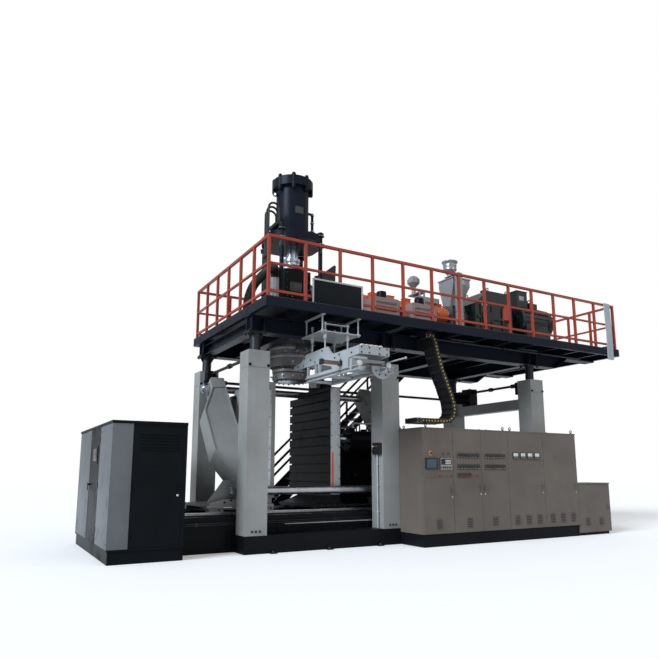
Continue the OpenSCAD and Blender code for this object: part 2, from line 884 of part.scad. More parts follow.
module guard_rails() {
  inset = 60;
  x0 = deck_x + inset;
  x1 = deck_end - inset;
  y0 = deck_front + inset;
  y1 = deck_rear - inset;
  color(orange) {
    rail_x(x0, x1, y0, rail_bays);
    rail_x(x0, landing_x0 - rail_tube, y1, 8);
    rail_x(landing_x1 + rail_tube, x1, y1, 3);
    rail_y(x0, y0, y1, rail_end_bays);
    rail_y(x1, y0, y1, rail_end_bays);
    box_x = x0 + floor(rail_bays * 0.62) * (x1 - x0) / rail_bays - rail_tube / 2;
    block(box_x - 135, box_x + 1, y0 - 35, y0 + 35, deck_top + 280, deck_top + 620);
  }
}

stair_y0 = 2020;
stair_y1 = 2720;
stair_x0 = 200;
stair_z0 = 200;

// Open stairs behind the deck: channel stringers, treads, a landing and handrails
module stairs() {
  rise = deck_top - stair_z0;
  going = landing_x0 - stair_x0;
  steps = 19;
  deep = 240;
  slope = atan2(rise, going);
  lift = deep / cos(slope);
  color(black) {
    for (y = [stair_y0, stair_y1 - 12])
      along_y(y, y + 12)
        polygon([
          [stair_x0, stair_z0], [stair_x0 + 200, stair_z0], [landing_x0, deck_top - lift * 0.55],
          [landing_x1, deck_top - lift * 0.55], [landing_x1, deck_top], [landing_x0, deck_top],
          [stair_x0, stair_z0 + lift * 0.45]
        ]);
    for (i = [0:steps - 1])
      block(stair_x0 + 60 + i * going / steps, stair_x0 + 60 + i * going / steps + 230, stair_y0 + 11,
        stair_y1 - 11, stair_z0 + (i + 0.55) * rise / steps, stair_z0 + (i + 0.55) * rise / steps + 30);
    block(landing_x0 - 20, landing_x1, stair_y0 + 11, stair_y1 - 11, deck_top - 40, deck_top);
    block(landing_x0, landing_x1, deck_rear, stair_y0 + 1, deck_top - 60, deck_top);
    for (y = [stair_y0, stair_y1 - 40]) {
      for (h = [560, 1060])
        along_y(y, y + 40)
          polygon([
            [stair_x0 + 100, stair_z0 + h], [stair_x0 + 140, stair_z0 + h - 30],
            [landing_x0, deck_top + h - 58], [landing_x0, deck_top + h]
          ]);
      for (t = [0.03, 0.27, 0.51, 0.75])
        block(stair_x0 + 100 + t * going, stair_x0 + 140 + t * going, y, y + 40,
          stair_z0 + 90 + t * rise, stair_z0 + 1030 + t * rise);
    }
    for (x = [landing_x0 - 20, landing_x1 - 40])
      block(x, x + 40, stair_y1 - 40, stair_y1, deck_top - 1, deck_top + 1060);
    block(landing_x0 - 20, landing_x0 + 20, stair_y0, stair_y0 + 40, deck_top - 1, deck_top + 1060);
    for (h = [520, 1020]) {
      block(landing_x0 - 20, landing_x1, stair_y1 - 40, stair_y1, deck_top + h, deck_top + h + 40);
      block(landing_x1 - 40, landing_x1, deck_rear + 20, stair_y1 - 39, deck_top + h, deck_top + h + 40);
    }
    block(landing_x1 - 40, landing_x1, deck_rear + 20, deck_rear + 60, deck_top - 1, deck_top + 1060);
  }
}

chain_y0 = -1730;
chain_w = 360;
chain_h = 100;
chain_foot = control_h + 120;

// Links of the cable chain along its path
module drag_chain() {
  path = [
    [2270, joist_z - 10], [2400, joist_z - 40], [2455, joist_z - 170], [2500, 3790], [2548, 3640],
    [2594, 3490], [2650, 3340], [2716, 3195], [2778, 3050], [2838, 2905], [2888, 2765],
    [2908, 2620], [2875, 2490], [2780, 2405], [2650, chain_foot + 60], [2500, chain_foot + 55],
    [2340, chain_foot + 52], [2180, chain_foot + 51], [2020, chain_foot + 51]
  ];
  color(black) {
    block(2190, 2300, chain_y0 - 10, chain_y0 + chain_w + 10, joist_z - 90, joist_z);
    for (i = [0:len(path) - 2]) {
      a = path[i];
      b = path[i + 1];
      link = norm(b - a);
      turn = atan2(b[1] - a[1], b[0] - a[0]);
      even = i % 2 == 0;
      translate([a[0], chain_y0, a[1]])
        rotate([0, -turn, 0]) {
          for (y = [even ? 0 : 14, even ? chain_w - 12 : chain_w - 26])
            translate([-34, y, -chain_h / 2])
              cube([link + 68, 12, chain_h]);
          for (z = [-chain_h / 2, chain_h / 2 - 10])
            translate([link / 2 - 28, 4, z])
              cube([56, chain_w - 8, 10]);
          translate([0, -4, 0])
            rotate([-90, 0, 0])
              cylinder(h = chain_w + 8, d = 44, $fn = 24);
        }
    }
    block(1910, 2030, chain_y0 - 10, chain_y0 + chain_w + 10, chain_foot + 1, chain_foot + 102);
  }
}

press_tube_z = flange_z + flange_t;
press_top = press_tube_z + press_l;
crown_h = 200;
press_bore = 580;
piston_h = 180;
pin_rod_d = 100;

// Press cylinder: tube, foot flange, bolted crown and adjusting nut
module press_cylinder() {
  color(navy) {
    difference() {
      union() {
        rod_z(0, 0, press_tube_z, press_top + 1, press_d);
        rod_z(0, 0, press_tube_z, press_tube_z + 60, press_d + 140);
        rod_z(0, 0, press_top, press_top + crown_h, press_d + 170);
        rod_z(0, 0, press_top + crown_h - 1, press_top + crown_h + 90, 260);
        for (i = [0:7])
          rotate([0, 0, i * 45 + 22.5])
            rod_z(press_d / 2 + 50, 0, press_top - 60, press_top + crown_h + 30, 90);
      }
      rod_z(0, 0, press_tube_z - 1, press_top + 80, press_bore + 2 * run);
      rod_z(0, 0, press_top, press_top + crown_h + 91, pin_rod_d + 2 * run);
    }
    difference() {
      hexagon(0, 0, press_top + crown_h + 89, press_top + crown_h + 180, 200);
      rod_z(0, 0, press_top + crown_h, press_top + crown_h + 210, pin_rod_d + 2 * run);
    }
    for (z = [press_tube_z + 165, press_top - 160])
      rod_x(-press_d / 2 - 60, -press_d / 2 + 30, 0, z, 60);
    rod_z(press_d / 2 + 75, -120, press_tube_z + 60, press_tube_z + 640, 60);
    for (z = [press_tube_z + 110, press_tube_z + 600])
      block(press_d / 2 - 30, press_d / 2 + 75, -140, -100, z, z + 40);
  }
}

rod_place = 450;

// Flange plate under the press cylinder with its four tie rods and nuts
module press_flange() {
  base_top = deck_top + 60;
  color(navy)
    difference() {
      union() {
        difference() {
          rod_z(0, 0, flange_z, press_tube_z, flange_d);
          for (a = [0:90:270])
            rotate([0, 0, a])
              block(flange_d / 2 - 40, flange_d, -flange_d, flange_d, flange_z - 1, press_tube_z + 1);
        }
        for (x = [-rod_place, rod_place])
          for (y = [-rod_place, rod_place]) {
            rod_z(x, y, base_top, press_tube_z + 90, tie_rod_d);
            hexagon(x, y, press_tube_z - 1, press_tube_z + 70, 140);
            hexagon(x, y, flange_z - 70, flange_z + 1, 140);
            hexagon(x, y, base_top, base_top + 70, 140);
          }
      }
      rod_z(0, 0, flange_z - 1, press_tube_z + 1, rod_d + 2 * run);
    }
}

block_top = 5650;
chamber_d = 400;

// Head block on its base plate, with the chamber bore and the channel from the extruder
module head_block() {
  half = block_w / 2;
  base = 1100;
  color(steel)
    difference() {
      union() {
        block(-base / 2, base / 2, -base / 2, base / 2, deck_top, deck_top + 60);
        block(-half, half, -half, half, deck_top + 59, block_top - 120);
        rod_z(0, 0, block_top - 121, block_top, block_w - 40);
        rod_z(0, 0, deck_top + 59, deck_top + 160, block_w + 150);
        block(-half - 60, -half + 1, -140, 140, 4700, 5000);
        rod_y(0, -half - 70, -half + 1, 4900, 120);
        rod_x(half - 1, half + 60 - gap, 0, screw_z, barrel_d + 120);
      }
      rod_z(0, 0, deck_top - 1, block_top + 1, chamber_d + 2 * run);
      rod_x(chamber_d / 2 - 20, half + 61, 0, screw_z, 90);
    }
}

neck_d = 640;
ring_top = die_z + 440;

// Accumulator head under the deck: neck, heated body, connection boxes
module accumulator_head() {
  r = head_d / 2;
  color([0.28, 0.29, 0.31])
    difference() {
      union() {
        rod_z(0, 0, 4230, deck_top, neck_d);
        rod_z(0, 0, 4232, 4272, head_d - 60);
        rod_z(0, 0, ring_top + 20, 4240, head_d);
        rod_z(0, 0, ring_top - 1, ring_top + 21, head_d - 60);
        rod_z(0, 0, ring_top - 160, ring_top, head_d - 20);
        rod_z(0, 0, die_z + 260, ring_top - 159, die_d - 60);
        for (z = [3760, 3960, 4130])
          rod_z(0, 0, z, z + 16, head_d + 16);
        block(-90, 90, -r - 30, -r + 60, 3800, 3930);
        block(-90, 90, r - 60, r + 30, 3800, 3930);
        block(-r - 20, -r + 60, -110, 110, 3980, 4110);
      }
      rod_z(0, 0, die_z + 259, deck_top + 1, chamber_d);
    }
}

// Die ring with a bore that widens downwards
module die_ring() {
  color([0.20, 0.20, 0.22])
    rotate_extrude()
      polygon([
        [die_bore / 2, die_z], [die_d / 2 - 25, die_z], [die_d / 2, die_z + 25], [die_d / 2, die_z + 150],
        [die_d / 2 - 15, die_z + 160], [die_d / 2, die_z + 170], [die_d / 2, die_z + 235],
        [die_d / 2 - 25, die_z + 260], [chamber_d / 2, die_z + 260]
      ]);
}

plunger_z = screw_z + 90;
piston_top = press_top - 60;

// Piston, rod and plunger in one piece, bored for the die pin's rod
module press_rod() {
  color(steel)
    difference() {
      union() {
        rod_z(0, 0, piston_top - piston_h, piston_top, press_bore);
        rod_z(0, 0, plunger_z + 1, piston_top - piston_h + 1, rod_d);
        rod_z(0, 0, plunger_z, plunger_z + 390, chamber_d);
        rod_z(0, 0, block_top + 130, block_top + 190, rod_d + 90);
      }
      rod_z(0, 0, plunger_z - 1, piston_top + 1, pin_rod_d + 2 * run);
    }
}

// Die pin: cone in the die ring on a long rod that ends above the crown
module die_pin() {
  low = die_bore / 2 - die_gap;
  high = chamber_d / 2 - die_gap;
  rod = pin_rod_d / 2;
  color([0.62, 0.63, 0.64])
    rotate_extrude()
      polygon([
        [0, die_z - 6], [low - 20, die_z - 6], [low - 2, die_z + 2], [high, die_z + 262],
        [high, ring_top + 20], [rod, ring_top + 260], [rod, press_top + crown_h + 206],
        [0, press_top + crown_h + 206]
      ]);
}

barrel_x0 = block_w / 2 + 60;
barrel_x1 = 4250;
throat_x1 = 4650;

// Barrel with a head flange, feed throat, drive flange and supports
module extruder_barrel() {
  color([0.30, 0.31, 0.33])
    difference() {
      union() {
        rod_x(barrel_x0, barrel_x1 + 1, 0, screw_z, barrel_d);
        rod_x(barrel_x0, barrel_x0 + 60, 0, screw_z, barrel_d + 120);
        block(barrel_x1, throat_x1, -240, 240, screw_z - 240, screw_z + 240);
        rod_x(throat_x1 - 1, 4800 - gap, 0, screw_z, barrel_d + 100);
        for (x = [2560, 4330]) {
          block(x - 30, x + 30, -200, 200, deck_top + 30, screw_z - 120);
          block(x - 120, x + 120, -260, 260, deck_top, deck_top + 31);
        }
      }
      rod_x(barrel_x0 - 1, 4801, 0, screw_z, screw_d + 2 * run);
      block(barrel_x1 + 60, throat_x1 - 60, -110, 110, screw_z, screw_z + 241);
    }
}

// Heater bands with their clamps and terminal boxes
module heater_bands() {
  bands = 8;
  x0 = barrel_x0 + 90;
  pitch = (barrel_x1 - x0 - 20) / bands;
  color(orange)
    difference() {
      union() {
        for (i = [0:bands - 1]) {
          x = x0 + i * pitch;
          rod_x(x, x + pitch - 50, 0, screw_z, heater_d);
          for (dx = [40, pitch - 120])
            rod_x(x + dx, x + dx + 30, 0, screw_z, heater_d + 16);
          block(x + 110, x + 300, -60, 60, screw_z + heater_d / 2 - 20, screw_z + heater_d / 2 + 70);
        }
      }
      rod_x(x0 - 1, barrel_x1, 0, screw_z, barrel_d + 2 * gap);
      block(2528, 2592, -201, 201, deck_top, screw_z - 119);
    }
}

// Screw with a coarse flight and a plain shank into the gearbox
module extruder_screw() {
  flight_x0 = barrel_x0 + 170;
  flight_x1 = 4640;
  turns = (flight_x1 - flight_x0) / 320;
  color(steel) {
    rod_x(flight_x0 - 60, flight_x1, 0, screw_z, 100);
    rod_x(flight_x1 - 1, 4980, 0, screw_z, screw_d);
    translate([flight_x0, 0, screw_z])
      rotate([90, 0, 90])
        linear_extrude(height = flight_x1 - flight_x0, twist = -360 * turns, slices = ceil(turns * 24),
          $fn = 8)
          polygon([[30, -22], [screw_d / 2 - 1, -10], [screw_d / 2 - 1, 10], [30, 22]]);
  }
}

hopper_x = 4545;
hopper_knee = 5915;
hopper_low = screw_z + 240;

// Square feed hopper with a tapered foot, its loader on a column, and the small dosing hopper
module hoppers() {
  half = hopper_w / 2;
  wall = 12;
  throat_x = 4450;
  loader_x = 4420;
  column_y = -half - 170;
  dose_x = 3260;
  color([0.58, 0.59, 0.60]) {
    difference() {
      union() {
        block(hopper_x - half, hopper_x + half, -half, half, hopper_knee, hopper_top);
        block(hopper_x - half - 20, hopper_x + half + 20, -half - 20, half + 20, hopper_top - 30, hopper_top);
        hull() {
          block(hopper_x - half, hopper_x + half, -half, half, hopper_knee, hopper_knee + 1);
          block(throat_x - 170, throat_x + 170, -130, 130, hopper_low + 30, hopper_low + 31);
        }
        block(throat_x - 200, throat_x + 200, -160, 160, hopper_low, hopper_low + 31);
      }
      block(hopper_x - half + wall, hopper_x + half - wall, -half + wall, half - wall, hopper_knee,
        hopper_top + 1);
      hull() {
        block(hopper_x - half + wall, hopper_x + half - wall, -half + wall, half - wall, hopper_knee,
          hopper_knee + 1);
        block(throat_x - 135, throat_x + 135, -105, 105, hopper_low + 20, hopper_low + 21);
      }
      block(throat_x - 130, throat_x + 130, -100, 100, hopper_low - 1, hopper_low + 22);
    }
    block(loader_x - 140, loader_x, column_y, column_y + 120, deck_top + 15, hopper_top + 40);
    block(loader_x - 180, loader_x + 40, column_y - 40, column_y + 160, deck_top, deck_top + 16);
    block(loader_x - 140, loader_x, column_y, 60, hopper_top + 39, hopper_top + 60);
    rod_z(loader_x - 10, 0, hopper_top + 30, hopper_top + 131, 120);
    translate([loader_x, 0, hopper_top + 130])
      cylinder(h = 110, d1 = 150, d2 = 330);
    rod_z(loader_x, 0, hopper_top + 239, hopper_top + 401, 330);
    translate([loader_x, 0, hopper_top + 400])
      cylinder(h = 50, d1 = 330, d2 = 400);
    rod_z(loader_x, 0, hopper_top + 449, hopper_top + 470, 400);
    rod_z(dose_x, 0, 5560, 5741, 100);
    translate([dose_x, 0, 5740])
      cylinder(h = 101, d1 = 120, d2 = 300, $fn = 8);
    translate([dose_x, 0, 5840])
      cylinder(h = 101, d = 300, $fn = 8);
    translate([dose_x, 0, 5940])
      cylinder(h = 60, d1 = 300, d2 = 190, $fn = 8);
    block(dose_x - 90, dose_x + 90, -330, 110, 5530, 5561);
    for (x = [dose_x - 80, dose_x + 50])
      block(x, x + 30, -330, -300, blower_z + 20, 5531);
    block(3360, 3960, -100, 100, screw_z + heater_d / 2 + 70, 5530);
  }
}

gear_x0 = 4800;
gear_x1 = 6050;
gear_top = 5850;

// Reduction gearbox with a sloping back, ribs, feet, covers and an output bore
module reduction_gearbox() {
  half = gearbox_w / 2;
  color([0.10, 0.15, 0.14])
    difference() {
      union() {
        along_y(-half, half)
          polygon([
            [gear_x0, deck_top + 120], [gear_x1, deck_top + 120], [gear_x1, gear_top - 60],
            [gear_x1 - 60, gear_top], [gear_x0 + 430, gear_top], [gear_x0, screw_z + 330]
          ]);
        block(gear_x0 + 40, gear_x1 - 40, -half - 70, half + 70, deck_top, deck_top + 60);
        for (y = [-half + 60, half - 100])
          block(gear_x0 + 60, gear_x1 - 60, y, y + 40, deck_top + 59, deck_top + 121);
        for (x = [gear_x0 + 160, gear_x0 + 520, gear_x0 + 880])
          block(x, x + 30, -half - 30, half + 30, deck_top + 59, screw_z + 320);
        block(gear_x0 + 60, gear_x1 - 50, -half - 30, half + 30, screw_z - 40, screw_z + 20);
        block(gear_x0 + 560, gear_x1 - 160, -half + 120, half - 120, gear_top - 1, gear_top + 30);
        rod_z(gear_x0 + 700, 0, gear_top + 29, gear_top + 110, 90);
        rod_x(gear_x1 - 1, gear_x1 + 60, 0, 5300, 420);
        rod_y(gear_x0 + 360, -half - 60, -half + 1, screw_z, 330);
      }
      rod_x(gear_x0 - 1, gear_x0 + 190, 0, screw_z, screw_d + 2 * run);
    }
}

motor_x0 = 6480;
motor_z = 5300;

// Drive motor: finned frame, end shields, coupling guard, terminal box and blower
module drive_motor() {
  r = motor_d / 2;
  x1 = motor_x0 + motor_l;
  color([0.13, 0.17, 0.17]) {
    rod_x(motor_x0 + 60, x1 - 120, 0, motor_z, motor_d - 60);
    rod_x(motor_x0, motor_x0 + 90, 0, motor_z, motor_d);
    rod_x(x1 - 160, x1, 0, motor_z, motor_d - 20);
    rod_x(motor_x0 - 60, motor_x0 + 1, 0, motor_z, motor_d * 0.62);
    for (a = [0:20:340])
      translate([motor_x0 + 80, 0, motor_z])
        rotate([a, 0, 0])
          block(0, motor_l - 230, -8, 8, r - 40, r - 6);
    block(gear_x1 + 61, motor_x0 - 59, -170, 170, deck_top + 300, motor_z + 190);
    block(gear_x1 + 90, motor_x0 - 90, -230, 230, deck_top, deck_top + 301);
    for (y = [-r + 20, r - 160])
      block(motor_x0 + 120, x1 - 220, y, y + 140, deck_top + 60, motor_z - 120);
    block(motor_x0 + 40, x1 - 140, -r - 60, r + 60, deck_top, deck_top + 61);
    block(motor_x0 + 40, motor_x0 + 420, -210, 210, motor_z + r - 60, motor_z + r + 360);
    block(motor_x0 + 30, motor_x0 + 430, -220, 220, motor_z + r + 359, motor_z + r + 385);
    block(motor_x0 + 560, motor_x0 + 860, -150, 150, motor_z + r - 60, motor_z + r + 120);
  }
}

blower_z = 5120;

// Two barrel blower boxes with grilles, outlet ducts and feet
module blower_boxes() {
  color([0.55, 0.50, 0.50])
    for (x = [1650, 2700]) {
      difference() {
        block(x, x + 700, -660, -260, deck_top + 60, blower_z);
        for (i = [0:6])
          block(x + 80, x + 620, -661, -645, deck_top + 180 + i * 80, deck_top + 215 + i * 80);
      }
      block(x + 20, x + 680, -650, -270, blower_z - 1, blower_z + 20);
      block(x + 150, x + 550, -261, -212, screw_z - 260, screw_z - 60);
      for (dx = [40, 600])
        block(x + dx, x + dx + 60, -650, -270, deck_top, deck_top + 61);
    }
}

// Hoses from the deck to a manifold on the press cylinder, held by two clips
module hydraulic_hoses() {
  up_x = -705;
  bend = 120;
  d = 44;
  low = press_tube_z + 200;
  color([0.12, 0.12, 0.12]) {
    for (i = [0:2]) {
      y = -180 - i * 80;
      top = 6640 + i * 60;
      rod_z(up_x, y, deck_top + 20, top, d);
      translate([up_x + bend, y, top])
        rotate([90, 0, 0])
          rotate_extrude(angle = 180)
            translate([bend, 0])
              circle(d = d, $fn = 24);
      rod_z(up_x + 2 * bend, y, low - 1, top, d);
      rod_z(up_x, y, deck_top, deck_top + 40, 70);
    }
    block(-520, -press_d / 2 - 60, -370, 60, low - 70, low);
    for (z = [4900, 5700])
      block(up_x - 40, up_x + 40, -380, -140, z, z + 40);
  }
}

arm_x = 300;
arm_low = 3100;
arm_front = -3100;
tray_z = girder_z;
rod_y1 = -1980;
rod_y2 = -1500;

// Side plate of the manipulator, in Y and Z: a deep middle, a notch and a long nose
module manipulator_plate(x) {
  along_x(x, x + 30)
    difference() {
      polygon([
        [-785, 3300], [-785, 3375], [-1080, 3415], [-1265, 3530], [rod_y1, 3546], [-2088, 3546],
        [-2192, 3432], [-2280, 3380], [arm_front, 3388], [arm_front, 3250], [-2800, 3225],
        [-2786, arm_low], [-2252, arm_low], [-2225, 3170], [-1780, 3285]
      ]);
      for (y = [-1640, -1180, -2500])
        translate([y, 3330])
          circle(d = 60);
    }
}

// Take-out manipulator, hung on four rods from a plate under the girder
module manipulator_frame() {
  color([0.42, 0.46, 0.52]) {
    for (x = [-arm_x, arm_x - 30])
      manipulator_plate(x);
    block(-arm_x, arm_x, arm_front - 25, arm_front + 1, 3250, 3388);
    for (y = [-1260, rod_y2 - 30, rod_y1 - 30, -2760])
      block(-arm_x + 29, arm_x - 29, y, y + 60, 3300, 3350);
    block(-arm_x + 29, arm_x - 29, arm_front, -2500, 3340, 3352);
    for (x = [-arm_x, arm_x - 60]) {
      block(x, x + 60, -2790, -1300, arm_low - 20, arm_low + 21);
      for (y = [-1340, -1640, -1780])
        block(x + 8, x + 52, y, y + 36, arm_low + 20, 3301);
    }
    rod_x(-arm_x - 400, -arm_x + 1, -2560, 3170, 64);
    for (x = [-arm_x - 400, -arm_x - 45])
      block(x, x + 46, -2602, -2518, 3128, 3212);
    block(-390, 440, -2030, -1250, tray_z - 22, tray_z);
    for (x = [-350, 400]) {
      for (y = [-2000, -1390])
        rod_z(x, y, tray_z - 1, joist_z, 30);
      block(x - 30, x + 30, -2060, front_row - girder_w / 2, joist_z - 20, joist_z);
    }
    for (x = [-285, 185])
      for (y = [rod_y1, rod_y2]) {
        rod_z(x, y, x < 0 ? 3500 : 3349, tray_z + 150, 30);
        rod_z(x, y, tray_z - 140, tray_z + 30, 62);
        rod_z(x, y, tray_z + 100, tray_z + 125, 46);
      }
    block(-310, 210, rod_y1 - 30, rod_y1 + 30, tray_z + 124, tray_z + 140);
  }
}

// Its carriage: channel rails, a front beam with rollers and the half-round plate
module manipulator_carriage() {
  z0 = arm_low - 100;
  z1 = arm_low - 20 - gap;
  color([0.30, 0.32, 0.35]) {
    for (x = [-arm_x, arm_x - 60])
      difference() {
        block(x, x + 60, -3040, -1240, z0, z1);
        block(x - 1, x + 42, -3041, -1239, z0 + 15, z1 - 15);
      }
    for (y = [-1290, -2000, -2700])
      block(-arm_x + 50, arm_x - 50, y, y + 40, z0 + 10, z0 + 60);
    for (x = [-arm_x, arm_x])
      block(x, x + 60, -2900, -2830, z0 + 1, 3214);
    block(-arm_x, arm_x + 60, -2900, -2830, 3160, 3214);
    rod_x(-arm_x + 59, arm_x + 1, -2865, 3120, 40);
    for (x = [-190, 387]) {
      rod_y(x, -2960, -2899, 3130, 60);
      rod_y(x, -2975, -2955, 3130, 110);
      rod_y(x, -2915, -2899, 3130, 110);
      block(x - 30, x + 30, -2900, -2860, 3100, 3161);
    }
    rod_y(arm_x + 100, -3450, -2899, 3190, 26);
    for (z = [3040, 3120])
      rod_x(arm_x + 59, arm_x + 250, -2865, z, 50);
    intersection() {
      rod_y(290, -2925, -2899, 3110, 420);
      block(60, 510, -2926, -2898, 2880, 3110);
    }
  }
}

bay1 = control_l1 / 3;
bay2 = control_l2 / 2;
door_x = [control_x, control_x + bay1, control_x + 2 * bay1, control_x + control_l1,
  control_x + control_l1 + bay2, control_end];
seam = 3;

// Plinths of the control cabinets and the auxiliary cabinet
module cabinet_plinths() {
  color(black) {
    block(control_x + 20, control_end - 10, control_front + 30, control_back, 0, plinth_h);
    block(control_end, control_end + aux_l - 20, control_front + 60, control_back - 160, 0, 60);
  }
}

// Row of five bays behind the doors, with a top cover and a rim round it
module control_cabinet() {
  body_y = control_front + door_t + gap;
  color(cabinet_grey)
    difference() {
      union() {
        block(control_x, control_end, body_y, control_back, plinth_h, control_h - 30);
        block(control_x - 12, control_end + 12, control_front, control_back, control_h - 30, control_h);
      }
      for (i = [0:4])
        block(door_x[i] + sheet_t, door_x[i + 1] - sheet_t, body_y - 1, control_back - sheet_t,
          plinth_h + sheet_t, control_h - 30 - sheet_t);
      for (i = [0:4])
        block(door_x[i] + 40, door_x[i + 1] - 40, control_front + 40, control_back - 40, control_h - 8,
          control_h + 1);
    }
}

// Door sheet with a folded edge behind
module door_sheet(i) {
  x0 = door_x[i] + seam;
  x1 = door_x[i + 1] - seam;
  z0 = plinth_h + seam;
  z1 = control_h - 30 - seam;
  difference() {
    block(x0, x1, control_front, control_front + door_t, z0, z1);
    block(x0 + 18, x1 - 18, control_front + 4, control_front + door_t + 1, z0 + 18, z1 - 18);
  }
}

// Vent with slats, from its lower left corner
module vent(x, z, w, h) {
  slats = 6;
  pitch = h / slats;
  y = control_front;
  block(x, x + w, y - 6, y, z, z + h);
  for (i = [0:slats - 1])
    block(x + 10, x + w - 10, y - 14, y - 5, z + (i + 0.25) * pitch, z + (i + 0.7) * pitch);
}

// Lever handle on a round rose
module door_handle(x, z) {
  y = control_front;
  rod_y(x, y - 22, y + 5, z, 36);
  block(x - 11, x + 11, y - 34, y - 21, z - 105, z + 20);
}

// Controller: frame with a sunken window and two keys
module controller(x, z, w, h) {
  y = control_front;
  difference() {
    block(x, x + w, y - 16, y + 5, z, z + h);
    block(x + 7, x + w - 7, y - 17, y - 11, z + h * 0.42, z + h - 7);
  }
  for (k = [0.3, 0.7])
    rod_y(x + w * k, y - 20, y - 15, z + h * 0.2, 9);
}

// Two rows of eight controllers with a dot over each
module controller_rows(x0, pitch, w) {
  for (i = [0:7])
    for (row = [[1631, 86], [1413, 92]]) {
      controller(x0 + i * pitch, row[0], w, row[1]);
      rod_y(x0 + 31 + i * pitch, control_front - 10, control_front + 5, row[0] + 124, 20);
    }
}

// Hinge barrels at a door's left edge
module hinge_barrels(x, y, zs) {
  for (z = zs)
    rod_z(x, y, z, z + 90, 10);
}

stop_x = 1894;
stop_z = 1716;
start_x = 1800;
start_z = 1290;
stem = 22;

module control_door_1() {
  y = control_front;
  color(cabinet_grey)
    difference() {
      union() {
        door_sheet(0);
        vent(1990, 310, 145, 190);
        door_handle(2392, 1060);
        hinge_barrels(door_x[0] + seam + 3, y - 4, [420, 1120, 1900]);
        rod_y(stop_x, y - 10, y + 5, stop_z, 66);
        rod_y(start_x, y - 6, y + 5, start_z, 44);
        for (x = [2182, 2318]) {
          rod_y(x, y - 8, y + 5, 1711, 40);
          rod_y(x, y - 24, y - 7, 1711, 30);
        }
        for (i = [1:6]) {
          rod_y(start_x + i * 96, y - 6, y + 5, start_z, 44);
          rod_y(start_x + i * 96, y - 20, y - 5, start_z, 30);
        }
        block(1750, 2060, y - 3, y + 1, 1404, 1636);
      }
      rod_y(stop_x, y - 11, y + 6, stop_z, stem + 2 * run);
      rod_y(start_x, y - 7, y + 6, start_z, stem + 2 * run);
    }
}

module control_door_2() {
  y = control_front;
  color(cabinet_grey) {
    door_sheet(1);
    vent(2740, 310, 145, 190);
    door_handle(3125, 1100);
    hinge_barrels(door_x[1] + seam + 3, y - 4, [420, 1120, 1900]);
    controller_rows(2538, 73, 62);
    for (i = [0:2]) {
      controller(2526 + i * 124, 1258, 105, 87);
      rod_y(2950 + i * 56, y - 12, y + 5, 1301, 30);
    }
  }
}

module control_door_3() {
  color(cabinet_grey) {
    door_sheet(2);
    vent(3410, 310, 145, 190);
    door_handle(3240, 1100);
    hinge_barrels(door_x[3] - seam - 3, control_front - 4, [300, 1000, 1780]);
    controller_rows(3250, 71, 60);
  }
}

module control_door_4() {
  y = control_front;
  color(cabinet_grey) {
    door_sheet(3);
    for (x = [4020, 4340, 4660])
      vent(x, 310, 145, 190);
    door_handle(4880, 1100);
    hinge_barrels(door_x[3] + seam + 3, y - 4, [420, 1120, 1900]);
    for (i = [0:3])
      controller(4042 + i * 208, 1629, 147, 129);
  }
}

module control_door_5() {
  y = control_front;
  color(cabinet_grey) {
    door_sheet(4);
    for (x = [5060, 5380, 5700])
      vent(x, 310, 145, 190);
    door_handle(5920, 1100);
    hinge_barrels(door_x[4] + seam + 3, y - 4, [420, 1120, 1900]);
    rod_y(5300, y - 10, y + 5, 1700, 50);
    rod_y(5300, y - 34, y - 9, 1700, 26);
  }
}

// Screen and programmer on the first door
module operator_panels() {
  y = control_front;
  color([0.25, 0.25, 0.26]) {
    difference() {
      block(1762, 2046, y - 24, y - 3, 1416, 1624);
      block(1784, 2024, y - 25, y - 18, 1440, 1602);
    }
    difference() {
      union() {
        block(2110, 2394, y - 22, y, 1402, 1626);
        for (i = [0:4])
          for (j = [0:1])
            block(2126 + i * 52, 2126 + i * 52 + 40, y - 28, y - 21, 1416 + j * 34, 1416 + j * 34 + 24);
      }
      block(2126, 2378, y - 23, y - 16, 1500, 1612);
    }
  }
}

// Mushroom button on a stem that slides in the door
module emergency_stop() {
  y = control_front;
  color([0.70, 0.08, 0.06]) {
    rod_y(stop_x, y - 34, y + 10, stop_z, stem);
    rod_y(stop_x, y - 44, y - 24, stop_z, 50);
    rod_y(stop_x, y - 50, y - 43, stop_z, 40);
  }
}

module start_button() {
  y = control_front;
  color([0.10, 0.50, 0.20]) {
    rod_y(start_x, y - 16, y + 10, start_z, stem);
    rod_y(start_x, y - 22, y - 14, start_z, 30);
  }
}

aux_end = control_end + aux_l;

// Auxiliary cabinet: open-fronted box with a foot
module aux_cabinet() {
  body_y = control_front + door_t + gap;
  color(cabinet_grey)
    difference() {
      union() {
        block(control_end + gap, aux_end, body_y, control_back - 120, 60, aux_h);
        block(control_end + gap, aux_end + 15, control_front - 8, control_back - 110, aux_h, aux_h + 25);
      }
      block(control_end + sheet_t, aux_end - sheet_t, body_y - 1, control_back - 120 - sheet_t,
        60 + sheet_t, aux_h - sheet_t);
    }
}

module aux_door() {
  x0 = control_end + seam;
  x1 = aux_end - seam;
  y = control_front;
  color(cabinet_grey) {
    difference() {
      block(x0, x1, y, y + door_t, 64, aux_h - seam);
      block(x0 + 18, x1 - 18, y + 4, y + door_t + 1, 82, aux_h - seam - 18);
    }
    for (x = [x0 + 180, x0 + 640])
      vent(x, 200, 150, 180);
    door_handle(x1 - 70, 620);
    hinge_barrels(x0 + 3, y - 4, [180, 860]);
  }
}

power_end = bed_x;
power_x = power_end - power_l;
power_rear = power_front + power_w;
pillar_w = 310;
front_door_x0 = power_x + pillar_w;
side_door_y0 = -470;
side_door_y1 = 470;

